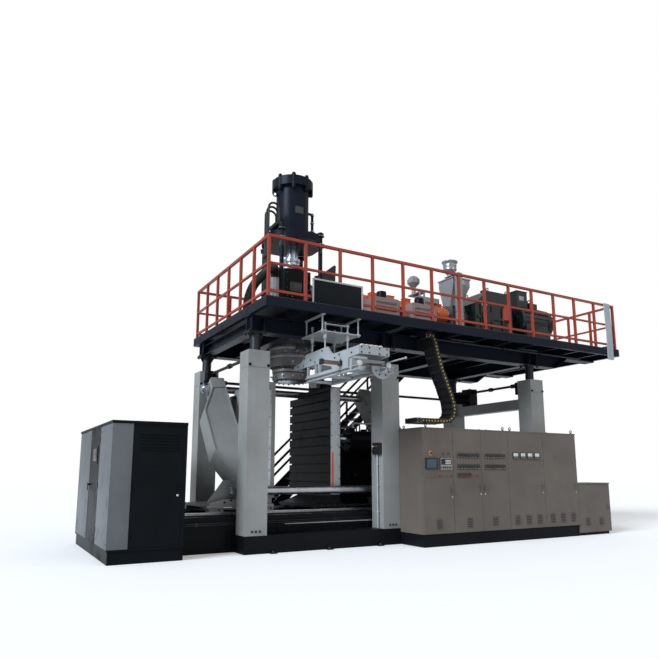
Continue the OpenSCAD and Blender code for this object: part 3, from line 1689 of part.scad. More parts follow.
// Power cabinet with openings for the louvred door and the side door
module power_cabinet() {
  color(black)
    difference() {
      union() {
        block(power_x + 20, power_end - gap, power_front + 20, power_rear - 20, 0, power_plinth + 1);
        block(power_x, power_end - gap, power_front, power_rear, power_plinth, power_h - 40);
        block(power_x - 15, power_end - gap, power_front - 15, power_rear + 15, power_h - 40, power_h);
      }
      block(front_door_x0, power_end - 60, power_front - 1, power_front + door_t + gap, power_plinth + 40,
        power_h - 80);
      block(front_door_x0 + 30, power_end - 90, power_front, -600, power_plinth + 70, power_h - 110);
      block(power_x - 1, power_x + door_t + gap, side_door_y0, side_door_y1, power_plinth + 40, power_h - 80);
      block(power_x, power_end - 90, side_door_y0 + 30, side_door_y1 - 30, power_plinth + 70, power_h - 110);
      for (y = [[-1480, -510], [500, 1100], [1150, 1750]])
        block(power_x - 1, power_x + 5, y[0], y[1], power_plinth + 30, power_h - 70);
      for (i = [0:5])
        block(power_end - 800, power_end - 200, power_rear - 25, power_rear + 1, 1500 + i * 70,
          1535 + i * 70);
    }
}

// Black front door with slanted louvres
module power_front_door() {
  x0 = front_door_x0 + seam;
  x1 = power_end - 60 - seam;
  z0 = power_plinth + 43;
  z1 = power_h - 83;
  color(black) {
    difference() {
      block(x0, x1, power_front, power_front + door_t, z0, z1);
      block(x0 + 18, x1 - 18, power_front + 6, power_front + door_t + 1, z0 + 18, 1640);
      for (i = [0:5])
        block(x0 + 90, x1 - 90, power_front - 1, power_front + door_t + 1, 1703 + i * 50, 1723 + i * 50);
    }
    for (i = [0:5])
      along_x(x0 + 80, x1 - 80)
        polygon([
          [power_front, 1726 + i * 50], [power_front - 16, 1700 + i * 50], [power_front - 12, 1698 + i * 50],
          [power_front + 8, 1726 + i * 50], [power_front + 8, 1734 + i * 50], [power_front, 1734 + i * 50]
        ]);
    rod_y(x1 - 60, power_front - 30, power_front + 1, 1150, 34);
    block(x1 - 72, x1 - 48, power_front - 40, power_front - 29, 1050, 1180);
    hinge_barrels(x0 + 3, power_front - 4, [400, 1100, 1850]);
  }
}

// Dark centre panel on the cabinet's end, hinged like a door
module power_side_door() {
  y0 = side_door_y0 + seam;
  y1 = side_door_y1 - seam;
  z0 = power_plinth + 43;
  z1 = power_h - 83;
  color(black) {
    difference() {
      block(power_x, power_x + door_t, y0, y1, z0, z1);
      block(power_x + 6, power_x + door_t + 1, y0 + 18, y1 - 18, z0 + 18, z1 - 18);
    }
    rod_x(power_x - 30, power_x + 7, y1 - 60, 1150, 34);
    block(power_x - 40, power_x - 29, y1 - 72, y1 - 48, 1050, 1180);
    block(power_x - 8, power_x + 1, y0 + 200, y1 - 300, 1500, 1800);
    hinge_barrels(power_x - 4, y0 + 3, [400, 1100, 1850]);
  }
}

clamp_bed();
bed_rails();
post_base_beams();
front_posts();
rear_posts();
post_caps();
switch_box();
lift_gearboxes();
end_crossbeam();
lift_shaft_left();
lift_shaft_mid();
lift_shaft_right();
lift_shaft_rear();
hydraulic_unit();
cabinet_plinths();
power_cabinet();
power_front_door();
power_side_door();
control_cabinet();
control_door_1();
control_door_2();
control_door_3();
control_door_4();
control_door_5();
operator_panels();
emergency_stop();
start_button();
aux_cabinet();
aux_door();
left_platen();
left_arm();
tie_bars();
right_arm();
clamp_cylinder();
right_platen();
clamp_piston();
main_girders();
deck_frame();
deck_plate();
jack_columns();
guard_rails();
stairs();
drag_chain();
press_cylinder();
press_flange();
head_block();
accumulator_head();
die_ring();
press_rod();
die_pin();
extruder_barrel();
heater_bands();
extruder_screw();
hoppers();
reduction_gearbox();
drive_motor();
blower_boxes();
manipulator_frame();
manipulator_carriage();
hydraulic_hoses();
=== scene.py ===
import bpy
import bmesh
import math
import numpy as np
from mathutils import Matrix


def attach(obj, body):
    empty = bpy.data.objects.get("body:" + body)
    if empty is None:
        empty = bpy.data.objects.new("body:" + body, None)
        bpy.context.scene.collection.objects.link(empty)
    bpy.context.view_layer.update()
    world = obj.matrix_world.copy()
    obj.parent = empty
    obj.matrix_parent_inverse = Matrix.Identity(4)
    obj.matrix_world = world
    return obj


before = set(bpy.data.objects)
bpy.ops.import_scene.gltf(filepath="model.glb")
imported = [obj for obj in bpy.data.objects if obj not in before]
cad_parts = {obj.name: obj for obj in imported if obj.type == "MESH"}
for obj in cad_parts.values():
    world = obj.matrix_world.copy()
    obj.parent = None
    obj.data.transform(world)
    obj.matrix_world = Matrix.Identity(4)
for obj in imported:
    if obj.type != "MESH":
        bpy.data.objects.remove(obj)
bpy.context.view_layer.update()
print("frame is in:", len(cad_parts), "nodes")


# the camera comes first, so the photo's frame is fixed
view = {"place": (-5.447, -11.203, 1.36), "turn": 30.0, "tilt": 9.62, "sensor": 36, "lens": 606 / 658 * 36,
        "shiftX": -0.0061, "shiftY": 0.0616, "far": 300}


def setCamera():
    data = bpy.data.cameras.new("photoCamera")
    data.sensor_width = view["sensor"]
    data.lens = view["lens"]
    data.shift_x = view["shiftX"]
    data.shift_y = view["shiftY"]
    data.clip_end = view["far"]
    camera = bpy.data.objects.new("photoCamera", data)
    camera.location = view["place"]
    camera.rotation_euler = (math.radians(90 + view["tilt"]), 0, math.radians(-view["turn"]))
    bpy.context.scene.collection.objects.link(camera)
    bpy.context.scene.camera = camera


setCamera()
print("camera set")


# directions in the frame: X runs right along the machine, Y to its rear, Z up
toRight, toLeft = (1, 0, 0), (-1, 0, 0)
toRear, toFront = (0, 1, 0), (0, -1, 0)
toTop, toFloor = (0, 0, 1), (0, 0, -1)


# shapes: every part is a pair of arrays, points (n, 3) and quads (m, 4)
def gridQuads(rows, cols, wrapRows=False, wrapCols=False):
    # quads between neighbouring points of a rows x cols grid, wrapped round where asked
    r = np.arange(rows if wrapRows else rows - 1)
    c = np.arange(cols if wrapCols else cols - 1)
    r0, c0 = np.meshgrid(r, c, indexing="ij")
    r1, c1 = (r0 + 1) % rows, (c0 + 1) % cols
    return np.stack([r0 * cols + c0, r0 * cols + c1, r1 * cols + c1, r1 * cols + c0], -1).reshape(-1, 4)


def turned(profile, steps):
    # a lathe shape: each profile point (radius, height) goes round Z as (r cos t, r sin t, z)
    p = np.asarray(profile, float)
    t = np.arange(steps) * 2 * np.pi / steps
    x = p[:, 0, None] * np.cos(t)
    y = p[:, 0, None] * np.sin(t)
    z = np.repeat(p[:, 1, None], steps, 1)
    return np.stack([x, y, z], -1).reshape(-1, 3), gridQuads(len(p), steps, wrapCols=True)


def softBlock(low, high, radius=0.004, fine=False):
    # a box with rounded edges: unit sphere directions times the radius, pushed out to the inner corners
    low, high = np.asarray(low, float), np.asarray(high, float)
    e = 1e-7
    u = np.array([-1, -0.45, -e, e, 0.45, 1]) if fine else np.array([-1, -e, e, 1])
    a, b = np.meshgrid(u, u, indexing="ij")
    one = np.ones_like(a)
    sides = [(one, a, b), (-one, b, a), (b, one, a), (a, -one, b), (a, b, one), (b, a, -one)]
    k = len(u)
    pts = np.concatenate([np.stack(s, -1).reshape(-1, 3) for s in sides])
    way = pts / np.linalg.norm(pts, axis=1, keepdims=True)
    half = (high - low) / 2
    radius = min(radius, half.min() * 0.98)
    shape = (low + high) / 2 + np.sign(pts) * (half - radius) + way * radius
    quads = np.concatenate([gridQuads(k, k) + i * k * k for i in range(6)])
    return shape, quads


def axisTurn(axis):
    # rotation matrix that carries Z onto the given axis
    z = np.asarray(axis, float)
    z = z / np.linalg.norm(z)
    x = np.cross([0, 1, 0] if abs(z[1]) < 0.9 else [1, 0, 0], z)
    x = x / np.linalg.norm(x)
    return np.stack([x, np.cross(z, x), z], 1)


def placed(part, at=(0, 0, 0), axis=toTop):
    return part[0] @ axisTurn(axis).T + np.asarray(at, float), part[1]


def rolled(part, angle):
    # the part turned about Z
    c, s = math.cos(angle), math.sin(angle)
    return part[0] @ np.array([[c, s, 0], [-s, c, 0], [0, 0, 1]]), part[1]


def copies(part, places, axis=toTop):
    # the same shape at every place, worked out as one array
    places = np.asarray(places, float).reshape(-1, 3)
    pts, quads = placed(part, axis=axis)
    allPts = (pts[None] + places[:, None]).reshape(-1, 3)
    allQuads = (quads[None] + (np.arange(len(places)) * len(pts))[:, None, None]).reshape(-1, 4)
    return allPts, allQuads


def spots(xs, ys, zs):
    # every mix of the given x, y and z, each of them one number or several
    return [(x, y, z) for x in np.atleast_1d(xs) for y in np.atleast_1d(ys) for z in np.atleast_1d(zs)]


def around(values, offsets):
    # every value with every offset added
    return np.add.outer(values, offsets).ravel()


def blocks(low, high, radius, xs=0, ys=0, zs=0):
    # the same rounded block moved to every mix of the given x, y and z
    return copies(softBlock(low, high, radius), spots(xs, ys, zs))


def together(*parts):
    pts, quads, n = [], [], 0
    for p, q in parts:
        pts.append(p)
        quads.append(q + n)
        n += len(p)
    return np.concatenate(pts), np.concatenate(quads)


def smoothLine(points, steps):
    # Catmull-Rom curve through the points
    p = np.asarray(points, float)
    p = np.concatenate([2 * p[:1] - p[1:2], p, 2 * p[-1:] - p[-2:-1]])
    t = (np.arange(steps) / steps)[None, :, None]
    a, b, c, d = p[:-3, None], p[1:-2, None], p[2:-1, None], p[3:, None]
    line = 0.5 * (2 * b + (c - a) * t + (2 * a - 5 * b + 4 * c - d) * t ** 2 + (3 * b - a - 3 * c + d) * t ** 3)
    return np.concatenate([line.reshape(-1, 3), p[-2:-1]])


def tube(path, radius, sides):
    # a round tube with closed ends: circles across the path; the radius is one value or one per point
    p = np.asarray(path, float)
    d = np.gradient(p, axis=0)
    d = d / np.linalg.norm(d, axis=1, keepdims=True)
    up = np.eye(3)[int(np.argmin(np.abs(d).max(0)))]
    side = np.cross(d, up)
    side = side / np.linalg.norm(side, axis=1, keepdims=True)
    top = np.cross(side, d)
    r = np.broadcast_to(np.asarray(radius, float), (len(p),))
    p, side, top = [np.concatenate([a[:1], a, a[-1:]]) for a in (p, side, top)]
    r = np.concatenate([[0], r, [0]])
    t = np.arange(sides) * 2 * np.pi / sides
    ring = side[:, None] * np.cos(t)[None, :, None] + top[:, None] * np.sin(t)[None, :, None]
    pts = p[:, None] + ring * r[:, None, None]
    return pts.reshape(-1, 3), gridQuads(len(p), sides, wrapCols=True)


def spoke(centre, way, reaches, radius, sides):
    # a straight rod that leaves the centre along a direction
    return tube(np.asarray(centre, float) + np.outer(reaches, way), radius, sides)


def lineBead(start, end, size, sides=6):
    return tube([start, tuple((a + b) / 2 for a, b in zip(start, end)), end], size, sides)


def pipeRun(points, radius, sides=10):
    # rigid pipe: straight legs with rounded corners, as a round tube
    p = np.asarray(points, float)
    path = [p[:1]]
    for before, corner, after in zip(p[:-2], p[1:-1], p[2:]):
        turnIn, turnOut = before - corner, after - corner
        lengthIn, lengthOut = np.linalg.norm(turnIn), np.linalg.norm(turnOut)
        reach = min(radius * 3.2, lengthIn * 0.45, lengthOut * 0.45)
        a = corner + turnIn / lengthIn * reach
        b = corner + turnOut / lengthOut * reach
        t = np.linspace(0, 1, 7)[:, None]
        path.append((1 - t) ** 2 * a + 2 * t * (1 - t) * corner + t ** 2 * b)
    path.append(p[-1:])
    return tube(np.concatenate(path), radius, sides)


def ribbedHose(points, radius, rib):
    # corrugated hose: a round tube whose radius swings between two sizes along its length
    line = smoothLine(points, 12)
    length = np.concatenate([[0], np.cumsum(np.linalg.norm(np.diff(line, axis=0), axis=1))])
    even = np.linspace(0, length[-1], int(length[-1] / rib * 4) + 1)
    path = np.stack([np.interp(even, length, line[:, i]) for i in range(3)], 1)
    return tube(path, radius * (1 + 0.07 * np.sin(even / rib * 2 * np.pi)), 20)


def hexBolt(across, height):
    # a chamfered hexagon head on a round washer
    r = across / 2 / math.cos(math.pi / 6)
    head = [(0, height), (r * 0.82, height), (r, height * 0.82), (r, height * 0.18), (0, height * 0.18)]
    washer = [(0, height * 0.2), (r * 1.15, height * 0.2), (r * 1.2, height * 0.12), (r * 1.2, 0), (0, 0)]
    return together(turned(head, 6), turned(washer, 12))


def boltsAt(across, height, places, axis=toTop):
    # the same bolt head at every place, standing along the axis
    return copies(hexBolt(across, height), places, axis)


def ringPlaces(count, radius, z, first=0.0):
    # places on a level circle round the head's axis, the first of them turned by degrees
    t = np.arange(count) * 2 * np.pi / count + math.radians(first)
    return np.stack([radius * np.cos(t), radius * np.sin(t), np.full(count, z)], 1)


def uprightRing(count, radius, x, y, z, first=0.0):
    # places on a circle that faces along X, the first turned by an angle in radians
    t = np.arange(count) * 2 * np.pi / count + first
    return np.stack([np.full(count, x), y + radius * np.cos(t), z + radius * np.sin(t)], 1)


def hoop(inner, outer, low, high, steps):
    # square-edged ring
    return turned([(inner, low), (outer, low), (outer, high), (inner, high), (inner, low)], steps)


def crestedHoop(inner, outer, crest, half, steps):
    # ring whose outside runs up to a crest halfway
    return turned([(inner, -half), (outer, -half), (crest, 0), (outer, half), (inner, half), (inner, -half)], steps)


def band(inner, outer, low, high, edge, steps):
    # flat band whose two outer edges are taken off, inwards and along by the two numbers in edge
    inwards, along = edge
    return turned([(inner, low), (outer - inwards, low), (outer, low + along), (outer, high - along),
                   (outer - inwards, high), (inner, high), (inner, low)], steps)


def sleeve(inner, outer, length, steps):
    # thin skin round a rod, its ends run down to it
    return turned([(inner, 0), (outer, 0.002), (outer, length - 0.002), (inner, length), (inner, 0)], steps)


def ringBead(radius, z, size):
    # weld bead: a small three-sided profile turned round Z in the corner of a tube and a plate
    return turned([(radius - 0.002, z), (radius + size, z), (radius + size * 0.7, z + size * 0.7),
                   (radius - 0.002, z + size), (radius - 0.002, z)], 48)


def threadCrests(radius, low, high, pitch):
    # thread on a rod: a zigzag profile of crests and roots turned round the rod
    steps = np.arange(2 * int((high - low) / pitch) + 1)
    z = low + steps * pitch / 2
    r = radius + np.where(steps % 2, pitch * 0.28, -0.0015)
    return turned([(radius - 0.004, low)] + list(zip(r, z)) + [(radius - 0.004, z[-1])], 20)


def liftingEye(size):
    # ring on a collar: a circle of wire standing on a short turned shank
    t = np.linspace(0, 2 * np.pi, 21)[:-1]
    r, wire = size * 0.36, size * 0.12
    s = np.arange(8) * np.pi / 4
    y = (r + wire * np.cos(s)[None]) * np.cos(t)[:, None]
    z = (r + wire * np.cos(s)[None]) * np.sin(t)[:, None] + size * 0.62
    x = np.repeat(wire * np.sin(s)[None], 20, 0)
    ring = np.stack([x, y, z], -1).reshape(-1, 3), gridQuads(20, 8, True, True)
    shank = [(0, 0), (0.34, 0), (0.34, 0.1), (0.2, 0.2), (0, 0.24)]
    return together(ring, turned([(size * a, size * b) for a, b in shank], 16))


def rimmedPlate(low, high, thick, rim):
    # bare plate that faces the front: a thin rounded sheet with a raised rim of four bars
    low, high = np.array(low, float), np.array(high, float)
    parts = [softBlock(low, high, thick * 0.3)]
    for side in (0, 2):
        for edge in (0, 1):
            barLow, barHigh = low - (0, thick / 2, 0), high.copy()
            if edge:
                barLow[side] = high[side] - rim
            else:
                barHigh[side] = low[side] + rim
            parts.append(softBlock(barLow, barHigh, thick * 0.3))
    return together(*parts)


def barFrame(x0, x1, z0, z1, width, y0, y1, soft=0.002):
    # open frame lying across Y: four bars round a free middle
    bars = [((x0, z0), (x1, z0 + width)), ((x0, z1 - width), (x1, z1)),
            ((x0, z0 + width), (x0 + width, z1 - width)), ((x1 - width, z0 + width), (x1, z1 - width))]
    return together(*[softBlock((a[0], y0, a[1]), (b[0], y1, b[1]), soft) for a, b in bars])


# materials
def tone(red, green, blue):
    # a colour as seen on screen (0-255), turned into Blender's linear values
    c = np.array([red, green, blue]) / 255
    lin = np.where(c <= 0.04045, c / 12.92, ((c + 0.055) / 1.055) ** 2.4)
    return (float(lin[0]), float(lin[1]), float(lin[2]), 1.0)


def shade(colour, factor):
    return tuple(min(1.0, c * factor) for c in colour[:3]) + (1.0,)


class Nodes:
    # a material and short ways to add and join its shader nodes
    def __init__(self, name):
        self.material = bpy.data.materials.new(name)
        self.material.use_nodes = True
        self.tree = self.material.node_tree
        self.shader = self.tree.nodes["Principled BSDF"]

    def add(self, kind, **values):
        node = self.tree.nodes.new(kind)
        for key, value in values.items():
            if key in node.inputs:
                node.inputs[key].default_value = value
            else:
                setattr(node, key, value)
        return node

    def join(self, source, socket):
        # a plain value is set, another node's output is linked
        if isinstance(source, (int, float, tuple)):
            socket.default_value = source
        else:
            self.tree.links.new(source, socket)

    def feed(self, **sources):
        # into the shader's own sockets, whose names are written without their spaces
        for socket in self.shader.inputs:
            source = sources.pop(socket.name.replace(" ", ""), None)
            if source is not None:
                self.join(source, socket)


def noiseField(kit, scale, detail, rough=0.55, stretch=(1, 1, 1)):
    # noise over the object's own coordinates, stretched along any of its directions
    place = kit.add("ShaderNodeTexCoord")
    mapping = kit.add("ShaderNodeMapping")
    mapping.inputs["Scale"].default_value = stretch
    noise = kit.add("ShaderNodeTexNoise", Scale=scale, Detail=detail, Roughness=rough)
    kit.join(place.outputs["Object"], mapping.inputs["Vector"])
    kit.join(mapping.outputs["Vector"], noise.inputs["Vector"])
    return noise.outputs["Fac"]


def ramp(kit, source, stops):
    node = kit.add("ShaderNodeValToRGB")
    for element, (place, colour) in zip(node.color_ramp.elements, stops):
        element.position = place
        element.color = colour
    kit.join(source, node.inputs["Fac"])
    return node.outputs["Color"]


def patches(kit, source, low, high):
    # black below one level of the noise and white above the other
    return ramp(kit, source, [(low, (0, 0, 0, 1)), (high, (1, 1, 1, 1))])


def mixed(kit, patch, most, first, second):
    # the second colour over the first where the patch is white, at most by the given part
    amount = kit.add("ShaderNodeMath", operation="MULTIPLY")
    kit.join(patch, amount.inputs[0])
    amount.inputs[1].default_value = most
    node = kit.add("ShaderNodeMix", data_type="RGBA")
    factor, colourA, colourB = 0, 6, 7
    for socket, value in ((factor, amount.outputs[0]), (colourA, first), (colourB, second)):
        kit.join(value, node.inputs[socket])
    return node.outputs[2]


def spread(kit, source, low, high):
    node = kit.add("ShaderNodeMapRange")
    node.inputs["To Min"].default_value = low
    node.inputs["To Max"].default_value = high
    kit.join(source, node.inputs["Value"])
    return node.outputs["Result"]


def bumped(kit, height, strength, distance=0.001):
    bump = kit.add("ShaderNodeBump", Strength=strength, Distance=distance)
    kit.join(height, bump.inputs["Height"])
    kit.feed(Normal=bump.outputs["Normal"])
    return bump


def paintedSteel(name, colour, rough, dust, dustColour, grain=140, orange=0.06, metal=0.0, streaks=0.12, shine=0.3):
    # sprayed paint: slow colour drift, faint runs down the sides, dust in broad patches, orange-peel bump
    kit = Nodes(name)
    colour = tone(*colour)
    drift = ramp(kit, noiseField(kit, 1.3, 5), [(0.3, shade(colour, 0.86)), (0.7, shade(colour, 1.12))])
    runs = patches(kit, noiseField(kit, 9.0, 3, 0.6, (1, 1, 0.06)), 0.42, 0.72)
    withRuns = mixed(kit, runs, streaks, drift, shade(colour, 0.62))
    patch = patches(kit, noiseField(kit, 3.1, 7, 0.62), 0.52, 0.78)
    bump = bumped(kit, noiseField(kit, grain, 2), orange, 0.002)
    edge = kit.add("ShaderNodeBevel", samples=4)
    edge.inputs["Radius"].default_value = 0.004
    kit.join(edge.outputs["Normal"], bump.inputs["Normal"])
    kit.feed(BaseColor=mixed(kit, patch, dust, withRuns, tone(*dustColour)),
             Roughness=spread(kit, patch, rough - 0.08, rough + 0.16), Metallic=metal, SpecularIORLevel=shine)
    return kit.material


def bareSteel(name, colour, rough=0.3, stretch=(1, 1, 1), stain=0.35, stainColour=(0.10, 0.07, 0.05, 1)):
    # machined or drawn steel: fine tool lines along one direction, oil and heat stains in patches
    kit = Nodes(name)
    colour = tone(*colour)
    lines = noiseField(kit, 60, 3, 0.6, stretch)
    tint = ramp(kit, lines, [(0.35, shade(colour, 0.75)), (0.65, shade(colour, 1.15))])
    patch = patches(kit, noiseField(kit, 4.0, 6, 0.6), 0.48, 0.75)
    bumped(kit, lines, 0.08)
    kit.feed(BaseColor=mixed(kit, patch, stain, tint, stainColour),
             Roughness=spread(kit, lines, max(0.05, rough - 0.1), rough + 0.2), Metallic=1.0)
    return kit.material


def moulded(name, colour, rough=0.5, grain=300, bumpiness=0.1):
    # moulded plastic or rubber: even colour with a fine pebbled grain
    kit = Nodes(name)
    colour = tone(*colour)
    bumped(kit, noiseField(kit, grain, 2), bumpiness)
    kit.feed(BaseColor=ramp(kit, noiseField(kit, 8, 4), [(0.3, shade(colour, 0.85)), (0.7, shade(colour, 1.15))]),
             Roughness=rough)
    return kit.material


def deckPaint(name, colour):
    # dark deck paint over raised lozenge plate, scuffed lighter along the walkways
    kit = Nodes(name)
    colour = tone(*colour)
    scuff = ramp(kit, noiseField(kit, 2.2, 7, 0.65), [(0.45, shade(colour, 0.9)), (0.75, shade(colour, 1.9))])
    place = kit.add("ShaderNodeTexCoord")
    tread = kit.add("ShaderNodeTexVoronoi", Scale=22.0, Randomness=0.12, distance="MANHATTAN")
    kit.join(place.outputs["Object"], tread.inputs["Vector"])
    lift = ramp(kit, tread.outputs["Distance"], [(0.16, (1, 1, 1, 1)), (0.24, (0, 0, 0, 1))])
    bumped(kit, lift, 0.5, 0.003)
    kit.feed(BaseColor=scuff, Roughness=0.5)
    return kit.material


def lampGlow(name, colour, strength):
    # tinted lens with a little light of its own
    kit = Nodes(name)
    colour = tone(*colour)
    kit.feed(BaseColor=ramp(kit, noiseField(kit, 90, 2), [(0.3, shade(colour, 0.8)), (0.7, shade(colour, 1.1))]),
             Roughness=0.15, EmissionColor=colour, EmissionStrength=strength)
    return kit.material


# finish: its material's name, colour, roughness, dust, colour of the dust, then what differs from the usual
paints = {
    "navy": ("navyPaint", (22, 27, 38), 0.44, 0.12, (48, 50, 54), {"shine": 0.08}),
    "black": ("blackPaint", (18, 19, 22), 0.44, 0.14, (46, 45, 44), {"shine": 0.08}),
    "cabinetBlack": ("cabinetBlackPaint", (19, 23, 26), 0.4, 0.06, (42, 44, 46), {"shine": 0.04}),
    "post": ("postGreyPaint", (138, 139, 137), 0.44, 0.1, (112, 107, 98), {"shine": 0.35}),
    "cabinet": ("cabinetGreyPaint", (97, 89, 82), 0.52, 0.08, (80, 74, 68),
                {"grain": 420, "orange": 0.12, "streaks": 0.05}),
    "pillar": ("pillarGreyPaint", (96, 99, 102), 0.45, 0.08, (84, 85, 84), {"shine": 0.2}),
    "orange": ("orangeRailPaint", (152, 58, 38), 0.4, 0.2, (88, 48, 38), {}),
    "bandOrange": ("heaterBandPaint", (206, 92, 42), 0.45, 0.26, (96, 60, 44), {}),
    "gear": ("gearGreenPaint", (19, 30, 31), 0.3, 0.18, (44, 48, 46), {"shine": 0.35}),
    "blower": ("blowerPaint", (138, 122, 120), 0.45, 0.18, (104, 92, 86), {}),
    "takeOut": ("takeOutPaint", (160, 164, 167), 0.42, 0.16, (104, 100, 90), {"shine": 0.35}),
    "paleSteel": ("paleSteelPaint", (166, 170, 172), 0.4, 0.14, (120, 116, 108), {"shine": 0.4}),
    "sheet": ("galvanisedSheet", (138, 138, 139), 0.42, 0.12, (116, 114, 110),
              {"grain": 60, "orange": 0.1, "metal": 0.25, "shine": 0.45}),
    "blueBlack": ("blueBlackPaint", (28, 40, 62), 0.36, 0.1, (60, 62, 66), {}),
    "panelGrey": ("panelGreyPaint", (66, 64, 66), 0.42, 0.16, (90, 88, 84), {}),
    "stripGrey": ("coverStripPaint", (150, 160, 166), 0.55, 0.22, (110, 112, 112),
                  {"grain": 60, "orange": 0.2, "shine": 0.25}),
    "signDark": ("signBoardPaint", (16, 20, 24), 0.34, 0.1, (40, 42, 44), {"shine": 0.1}),
    "signFrame": ("signFramePaint", (164, 166, 168), 0.36, 0.12, (110, 110, 108), {"metal": 0.3, "shine": 0.4}),
}
finishes = {finish: paintedSteel(*row[:-1], **row[-1]) for finish, row in paints.items()}
finishes.update({
    "deck": deckPaint("deckPlatePaint", (28, 31, 38)),
    "steel": bareSteel("machinedSteel", (186, 190, 194), 0.3, (0.2, 1, 1)),
    "chromed": bareSteel("chromedRod", (200, 212, 222), 0.2, (1, 1, 0.1), 0.08),
    "heatSteel": bareSteel("heatedSteel", (132, 131, 131), 0.46, (1, 1, 6), 0.4, tone(52, 48, 46)),
    "heatBand": bareSteel("heaterBandSteel", (150, 148, 147), 0.4, (1, 1, 9), 0.4, tone(64, 58, 54)),
    "darkSteel": bareSteel("blackenedSteel", (62, 64, 68), 0.42, (1, 1, 1), 0.35, tone(34, 30, 28)),
    "copper": bareSteel("copperTube", (146, 112, 96), 0.34, (1, 0.2, 1), 0.2),
    "plate": bareSteel("barePlate", (160, 162, 164), 0.36, (1, 9, 9), 0.2),
    "plastic": moulded("blackPlastic", (24, 24, 26)),
    "rubber": moulded("hoseRubber", (22, 22, 24), 0.62, 500, 0.2),
    "red": moulded("redPlastic", (170, 26, 22), 0.25, 200, 0.03),
    "green": moulded("greenPlastic", (34, 120, 58), 0.25, 200, 0.03),
    "yellow": moulded("yellowPlastic", (206, 168, 40), 0.4),
    "amber": moulded("amberPlastic", (122, 104, 84), 0.3),
    "white": moulded("whitePlastic", (204, 204, 198), 0.4),
    "panel": moulded("panelPlastic", (150, 148, 142), 0.45),
    "meter": moulded("meterBrown", (72, 34, 28), 0.35),
    "screen": lampGlow("screenGlass", (52, 72, 88), 0.12),
    "digits": lampGlow("digitGlass", (34, 20, 20), 0.15),
    "glassBlack": lampGlow("darkGlass", (16, 18, 22), 0.05),
})
print("finishes made:", len(finishes))

# the CAD nodes keep their shape and get their finish
nodeFinish = {
    "navy": "main_girders deck_frame press_cylinder press_flange",
    "deck": "deck_plate",
    "black": "clamp_bed post_base_beams lift_gearboxes cabinet_plinths head_block right_platen clamp_cylinder stairs "
             "hydraulic_unit",
    "cabinetBlack": "power_cabinet power_front_door power_side_door",
    "post": "front_posts rear_posts post_caps end_crossbeam left_platen left_arm right_arm",
    "cabinet": "control_cabinet control_door_1 control_door_2 control_door_3 control_door_4 control_door_5 "
               "aux_cabinet aux_door",
    "orange": "guard_rails",
    "bandOrange": "heater_bands",
    "gear": "reduction_gearbox drive_motor",
    "blower": "blower_boxes",
    "takeOut": "manipulator_frame manipulator_carriage",
    "steel": "bed_rails tie_bars",
    "chromed": "clamp_piston press_rod die_pin extruder_screw",
    "heatSteel": "accumulator_head die_ring extruder_barrel",
    "darkSteel": "jack_columns lift_shaft_left lift_shaft_mid lift_shaft_right lift_shaft_rear",
    "sheet": "hoppers",
    "plastic": "drag_chain switch_box operator_panels",
    "rubber": "hydraulic_hoses",
    "red": "emergency_stop",
    "green": "start_button",
}
for finish, names in nodeFinish.items():
    for name in names.split():
        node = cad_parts[name]
        node.data.materials.clear()
        node.data.materials.append(finishes[finish])
print("nodes painted")


# pale floor, pale room and two sun lamps
lamps = {"world": 0.5, "key": 3.0, "keyTurn": (60, 0, -74), "keySpread": 25, "keyColour": (0.86, 0.97, 1.08),
         "fill": 0.3, "fillTurn": (60, 0, 30), "fillSpread": 60, "fillColour": (1.08, 1.0, 0.92), "floorLift": 0.2,
         "floorHalf": 60.0, "floorTop": -0.002}


def paleSurface(name):
    # plain pale grey that keeps the shadow; to the camera alone it is lifted towards the white behind it
    kit = Nodes(name)
    path = kit.add("ShaderNodeLightPath")
    lift = kit.add("ShaderNodeMath", operation="MULTIPLY")
    lift.inputs[1].default_value = lamps["floorLift"]
    kit.join(path.outputs["Is Camera Ray"], lift.inputs[0])
    kit.feed(BaseColor=(0.86, 0.86, 0.86, 1), Roughness=0.9, EmissionColor=(1, 1, 1, 1),
             EmissionStrength=lift.outputs[0])
    return kit.material


def setFloor():
    u = np.linspace(-lamps["floorHalf"], lamps["floorHalf"], 5)
    x, y = np.meshgrid(u, u, indexing="ij")
    pts = np.stack([x, y, np.full_like(x, lamps["floorTop"])], -1).reshape(-1, 3)
    mesh = bpy.data.meshes.new("floor")
    mesh.from_pydata(pts.tolist(), [], gridQuads(5, 5)[:, ::-1].tolist())
    mesh.materials.append(paleSurface("paleFloor"))
    floor = bpy.data.objects.new("floor", mesh)
    bpy.context.scene.collection.objects.link(floor)


def setWorld():
    # soft light for the shapes, plain white where the camera looks past them
    world = bpy.data.worlds.new("paleRoom")
    world.use_nodes = True
    tree = world.node_tree
    tree.nodes.clear()
    mix = tree.nodes.new("ShaderNodeMixShader")
    for i, colour, strength in ((1, (0.93, 0.96, 1.0, 1), lamps["world"]), (2, (1, 1, 1, 1), 1.0)):
        light = tree.nodes.new("ShaderNodeBackground")
        light.inputs["Color"].default_value = colour
        light.inputs["Strength"].default_value = strength
        tree.links.new(light.outputs[0], mix.inputs[i])
    path = tree.nodes.new("ShaderNodeLightPath")
    most = tree.nodes.new("ShaderNodeMath")
    most.operation = "MAXIMUM"
    tree.links.new(path.outputs["Is Camera Ray"], most.inputs[0])
    tree.links.new(path.outputs["Is Transmission Ray"], most.inputs[1])
    tree.links.new(most.outputs[0], mix.inputs["Fac"])
    tree.links.new(mix.outputs[0], tree.nodes.new("ShaderNodeOutputWorld").inputs["Surface"])
    bpy.context.scene.world = world
    bpy.context.scene.view_settings.view_transform = "Standard"


